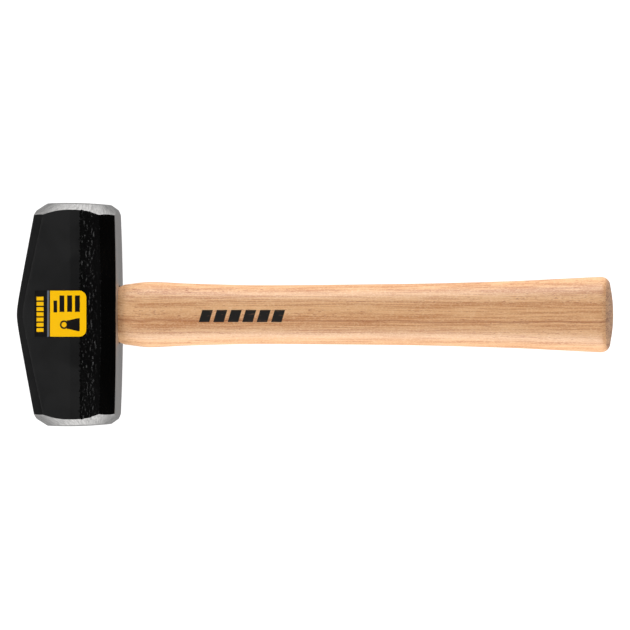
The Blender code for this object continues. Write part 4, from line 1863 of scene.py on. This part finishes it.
@dataclass(frozen=True)
class Label:
    """The printed film on the upper cheek, which follows it over its ridge."""

    start: float = -0.0182
    end: float = 0.0052
    height: float = 0.0205
    middle: float = 0.0004  # its centre line along the strike axis
    corner: float = 0.0032
    lift: float = 0.00003
    thickness: float = 0.00012
    columns: int = 48
    corner_columns: int = 10
    rows: int = 40

    def half_height(self, x: float) -> float:
        """Half the label's height at x, which falls over its rounded corners."""
        into = max(0.0, x - (self.end - self.corner))
        return self.height / 2 - self.corner + math.sqrt(max(self.corner**2 - into**2, 0.0))

    def stops(self) -> list[float]:
        """Places along X, closest together over the rounded corners."""
        straight = self.end - self.corner
        body = [self.start + (straight - self.start) * i / self.columns
                for i in range(self.columns)]
        angles = [math.pi / 2 * i / self.corner_columns for i in range(self.corner_columns + 1)]
        return body + [straight + self.corner * math.sin(angle) for angle in angles]

    def build(self, head: Head, finish: bpy.types.Material) -> bpy.types.Object:
        """Makes the film on the head's cheek and hands it over.

        Args:
            head: the head that it lies on.
            finish: the printed film.

        Returns:
            The finished piece.
        """
        stops = self.stops()
        shares = [2 * j / self.rows - 1 for j in range(self.rows + 1)]
        layers = []
        for rise in (self.lift, self.lift + self.thickness):
            layer = []
            for x in stops:
                half = self.half_height(x)
                level = MIDDLE_HEIGHT + float(head.cheek_height(np.array([x]))[0]) + rise
                layer.append([(x, self.middle + half * share, level) for share in shares])
            layers.append(layer)
        points = [point for layer in layers for line in layer for point in line]
        faces = self.sheet_faces(len(stops), len(points) // 2)
        label = mesh_object("cheek_label", points, faces)
        label.data.materials.append(finish)
        smooth(label, 30.0)
        hand_over(label, "head_label")
        return label

    def sheet_faces(self, lines: int, layer: int) -> list[tuple[int, int, int, int]]:
        """The faces of the film's two sides and its rim.

        Args:
            lines: how many places it has along X.
            layer: how many points each side has.

        Returns:
            The faces.
        """
        wide = self.rows + 1
        faces = []
        for base in (0, layer):
            for i in range(lines - 1):
                for j in range(self.rows):
                    a = base + i * wide + j
                    faces.append((a, a + 1, a + wide + 1, a + wide))
        rim = [i * wide for i in range(lines)]
        rim += [(lines - 1) * wide + j for j in range(1, wide)]
        rim += [i * wide + self.rows for i in range(lines - 2, -1, -1)]
        rim += list(range(self.rows - 1, 0, -1))
        for a, b in zip(rim, rim[1:] + rim[:1]):
            faces.append((a, b, b + layer, a + layer))
        return faces


# ---------------------------------------------------------------------------------------------
# The studio


@dataclass(frozen=True)
class SoftBox:
    """A large soft lamp, aimed at the middle of the hammer."""

    name: str
    place: tuple[float, float, float]
    size: tuple[float, float]
    power: float
    tint: Colour = (1.0, 1.0, 1.0)

    def build(self, aim: Vector) -> None:
        """Adds the lamp.

        Args:
            aim: what it points at.
        """
        lamp = bpy.data.lights.new(self.name, "AREA")
        lamp.shape = "RECTANGLE"
        lamp.size, lamp.size_y = self.size
        lamp.energy = self.power
        lamp.color = self.tint
        obj = bpy.data.objects.new(self.name, lamp)
        obj.location = self.place
        obj.rotation_euler = (aim - obj.location).to_track_quat("-Z", "Y").to_euler()
        obj.visible_camera = False
        bpy.context.scene.collection.objects.link(obj)


@dataclass(frozen=True)
class Studio:
    """A glowing light table under a dim tent with bright sides, three soft boxes, the camera."""

    middle: tuple[float, float, float] = (0.1058, -0.0002, 0.0183)
    camera_lean: float = math.radians(5.0)
    camera_distance: float = 3.3
    frame_width: float = 0.2813
    sensor: float = 36.0
    floor_size: float = 14.0
    floor_colour: Colour = (0.30, 0.30, 0.30)
    floor_glow: float = 0.92
    floor_gap: float = 0.00005  # keeps the floor out of the plane of the cheek on it
    tent_base: float = 0.01
    tent_below: float = 0.38
    tent_side: float = 1.0  # at the height of the hammer, facing the striking ends
    tent_high_side: float = 0.35
    tent_overhead: float = 0.03
    boxes: tuple[SoftBox, ...] = (
        SoftBox("upper_box", (0.05, 1.40, 0.62), (1.8, 0.6), 33.0),
        SoftBox("lower_box", (0.05, -1.40, 0.62), (1.8, 0.6), 33.0),
        SoftBox("head_box", (-1.10, 0.0, 1.25), (0.5, 0.5), 1.5),
    )

    def build(self) -> None:
        """Adds the floor, the tent, the lamps and the camera."""
        bpy.context.scene.view_settings.view_transform = "Standard"
        self.build_floor()
        self.build_tent()
        for box in self.boxes:
            box.build(Vector(self.middle))
        self.build_camera()

    def build_floor(self) -> None:
        """Adds the glowing white table that the hammer lies on."""
        half = self.floor_size / 2
        z = -self.floor_gap
        corners = [(-half, -half, z), (half, -half, z), (half, half, z), (-half, half, z)]
        mesh = bpy.data.meshes.new("studio_floor")
        mesh.from_pydata(corners, [], [(0, 1, 2, 3)])
        floor = link_mesh("studio_floor", mesh)
        material, _, shader = new_material("light_table")
        shader.inputs["Base Color"].default_value = (*self.floor_colour, 1.0)
        shader.inputs["Roughness"].default_value = 0.9
        shader.inputs["Specular IOR Level"].default_value = 0.1
        shader.inputs["Emission Color"].default_value = (1.0, 1.0, 1.0, 1.0)
        shader.inputs["Emission Strength"].default_value = self.floor_glow
        mesh.materials.append(material)
        floor.visible_glossy = False  # the tent stands for it in reflections

    def build_tent(self) -> None:
        """Lights the world: bright beside the striking ends, dark past the butt and the head."""
        world = bpy.data.worlds.new("tent")
        world.use_nodes = True
        graph = Graph(world.node_tree)
        background = world.node_tree.nodes["Background"]
        direction = graph.add("ShaderNodeTexCoord").outputs["Generated"]
        _, y, z = graph.split(direction)
        below = graph.rise(z, -0.1, -0.5, 0.0, self.tent_below)
        to_side = graph.rise(graph.maths("ABSOLUTE", y), 0.55, 0.95)
        side = graph.rise(z, 0.35, 0.0, self.tent_high_side, self.tent_side)
        overhead = graph.rise(z, 0.4, 0.95, 0.0, self.tent_overhead)
        glow = graph.total(self.tent_base, below, graph.product(to_side, side), overhead)
        seen = graph.add("ShaderNodeLightPath").outputs["Is Camera Ray"]
        level = graph.add("ShaderNodeMix", data_type="FLOAT")
        graph.feed(level.inputs[0], seen)
        graph.feed(level.inputs[2], glow)
        graph.feed(level.inputs[3], 1.0)
        background.inputs["Color"].default_value = (1.0, 1.0, 1.0, 1.0)
        graph.feed(background.inputs["Strength"], level.outputs[0])
        bpy.context.scene.world = world

    def build_camera(self) -> None:
        """Adds the camera, which looks straight down with a slight lean towards the butt."""
        camera = bpy.data.cameras.new("camera")
        camera.sensor_width = self.sensor
        camera.lens = self.sensor * self.camera_distance / self.frame_width
        camera.clip_end = 100.0
        obj = bpy.data.objects.new("camera", camera)
        back = Vector((math.sin(self.camera_lean), 0.0, math.cos(self.camera_lean)))
        right = Vector((math.cos(self.camera_lean), 0.0, -math.sin(self.camera_lean)))
        turn = Matrix((right, Vector((0.0, 1.0, 0.0)), back)).transposed()
        place = Vector(self.middle) + back * self.camera_distance
        obj.matrix_world = Matrix.Translation(place) @ turn.to_4x4()
        bpy.context.scene.collection.objects.link(obj)
        bpy.context.scene.camera = obj


def main() -> None:
    """Builds the hammer's pieces in order, then the studio round them."""
    logging.basicConfig(level=logging.INFO, format="%(name)s: %(message)s", force=True)
    noise.seed_set(NOISE_SEED)
    head = Head()
    wedges = WedgeSet()
    head.build([BlackEnamel().build(), GroundSteel().build(), BoreScale().build()])
    Handle().build(Hickory().build(), wedges.slots_in_tenon())
    wedges.build(WedgeWood().build(), RolledSteel().build())
    Label().build(head, PrintedFilm().build())
    studio = Studio()
    studio.build()
    log.info("studio: floor, tent, %d soft boxes and camera", len(studio.boxes))


if __name__ == "__main__":
    main()
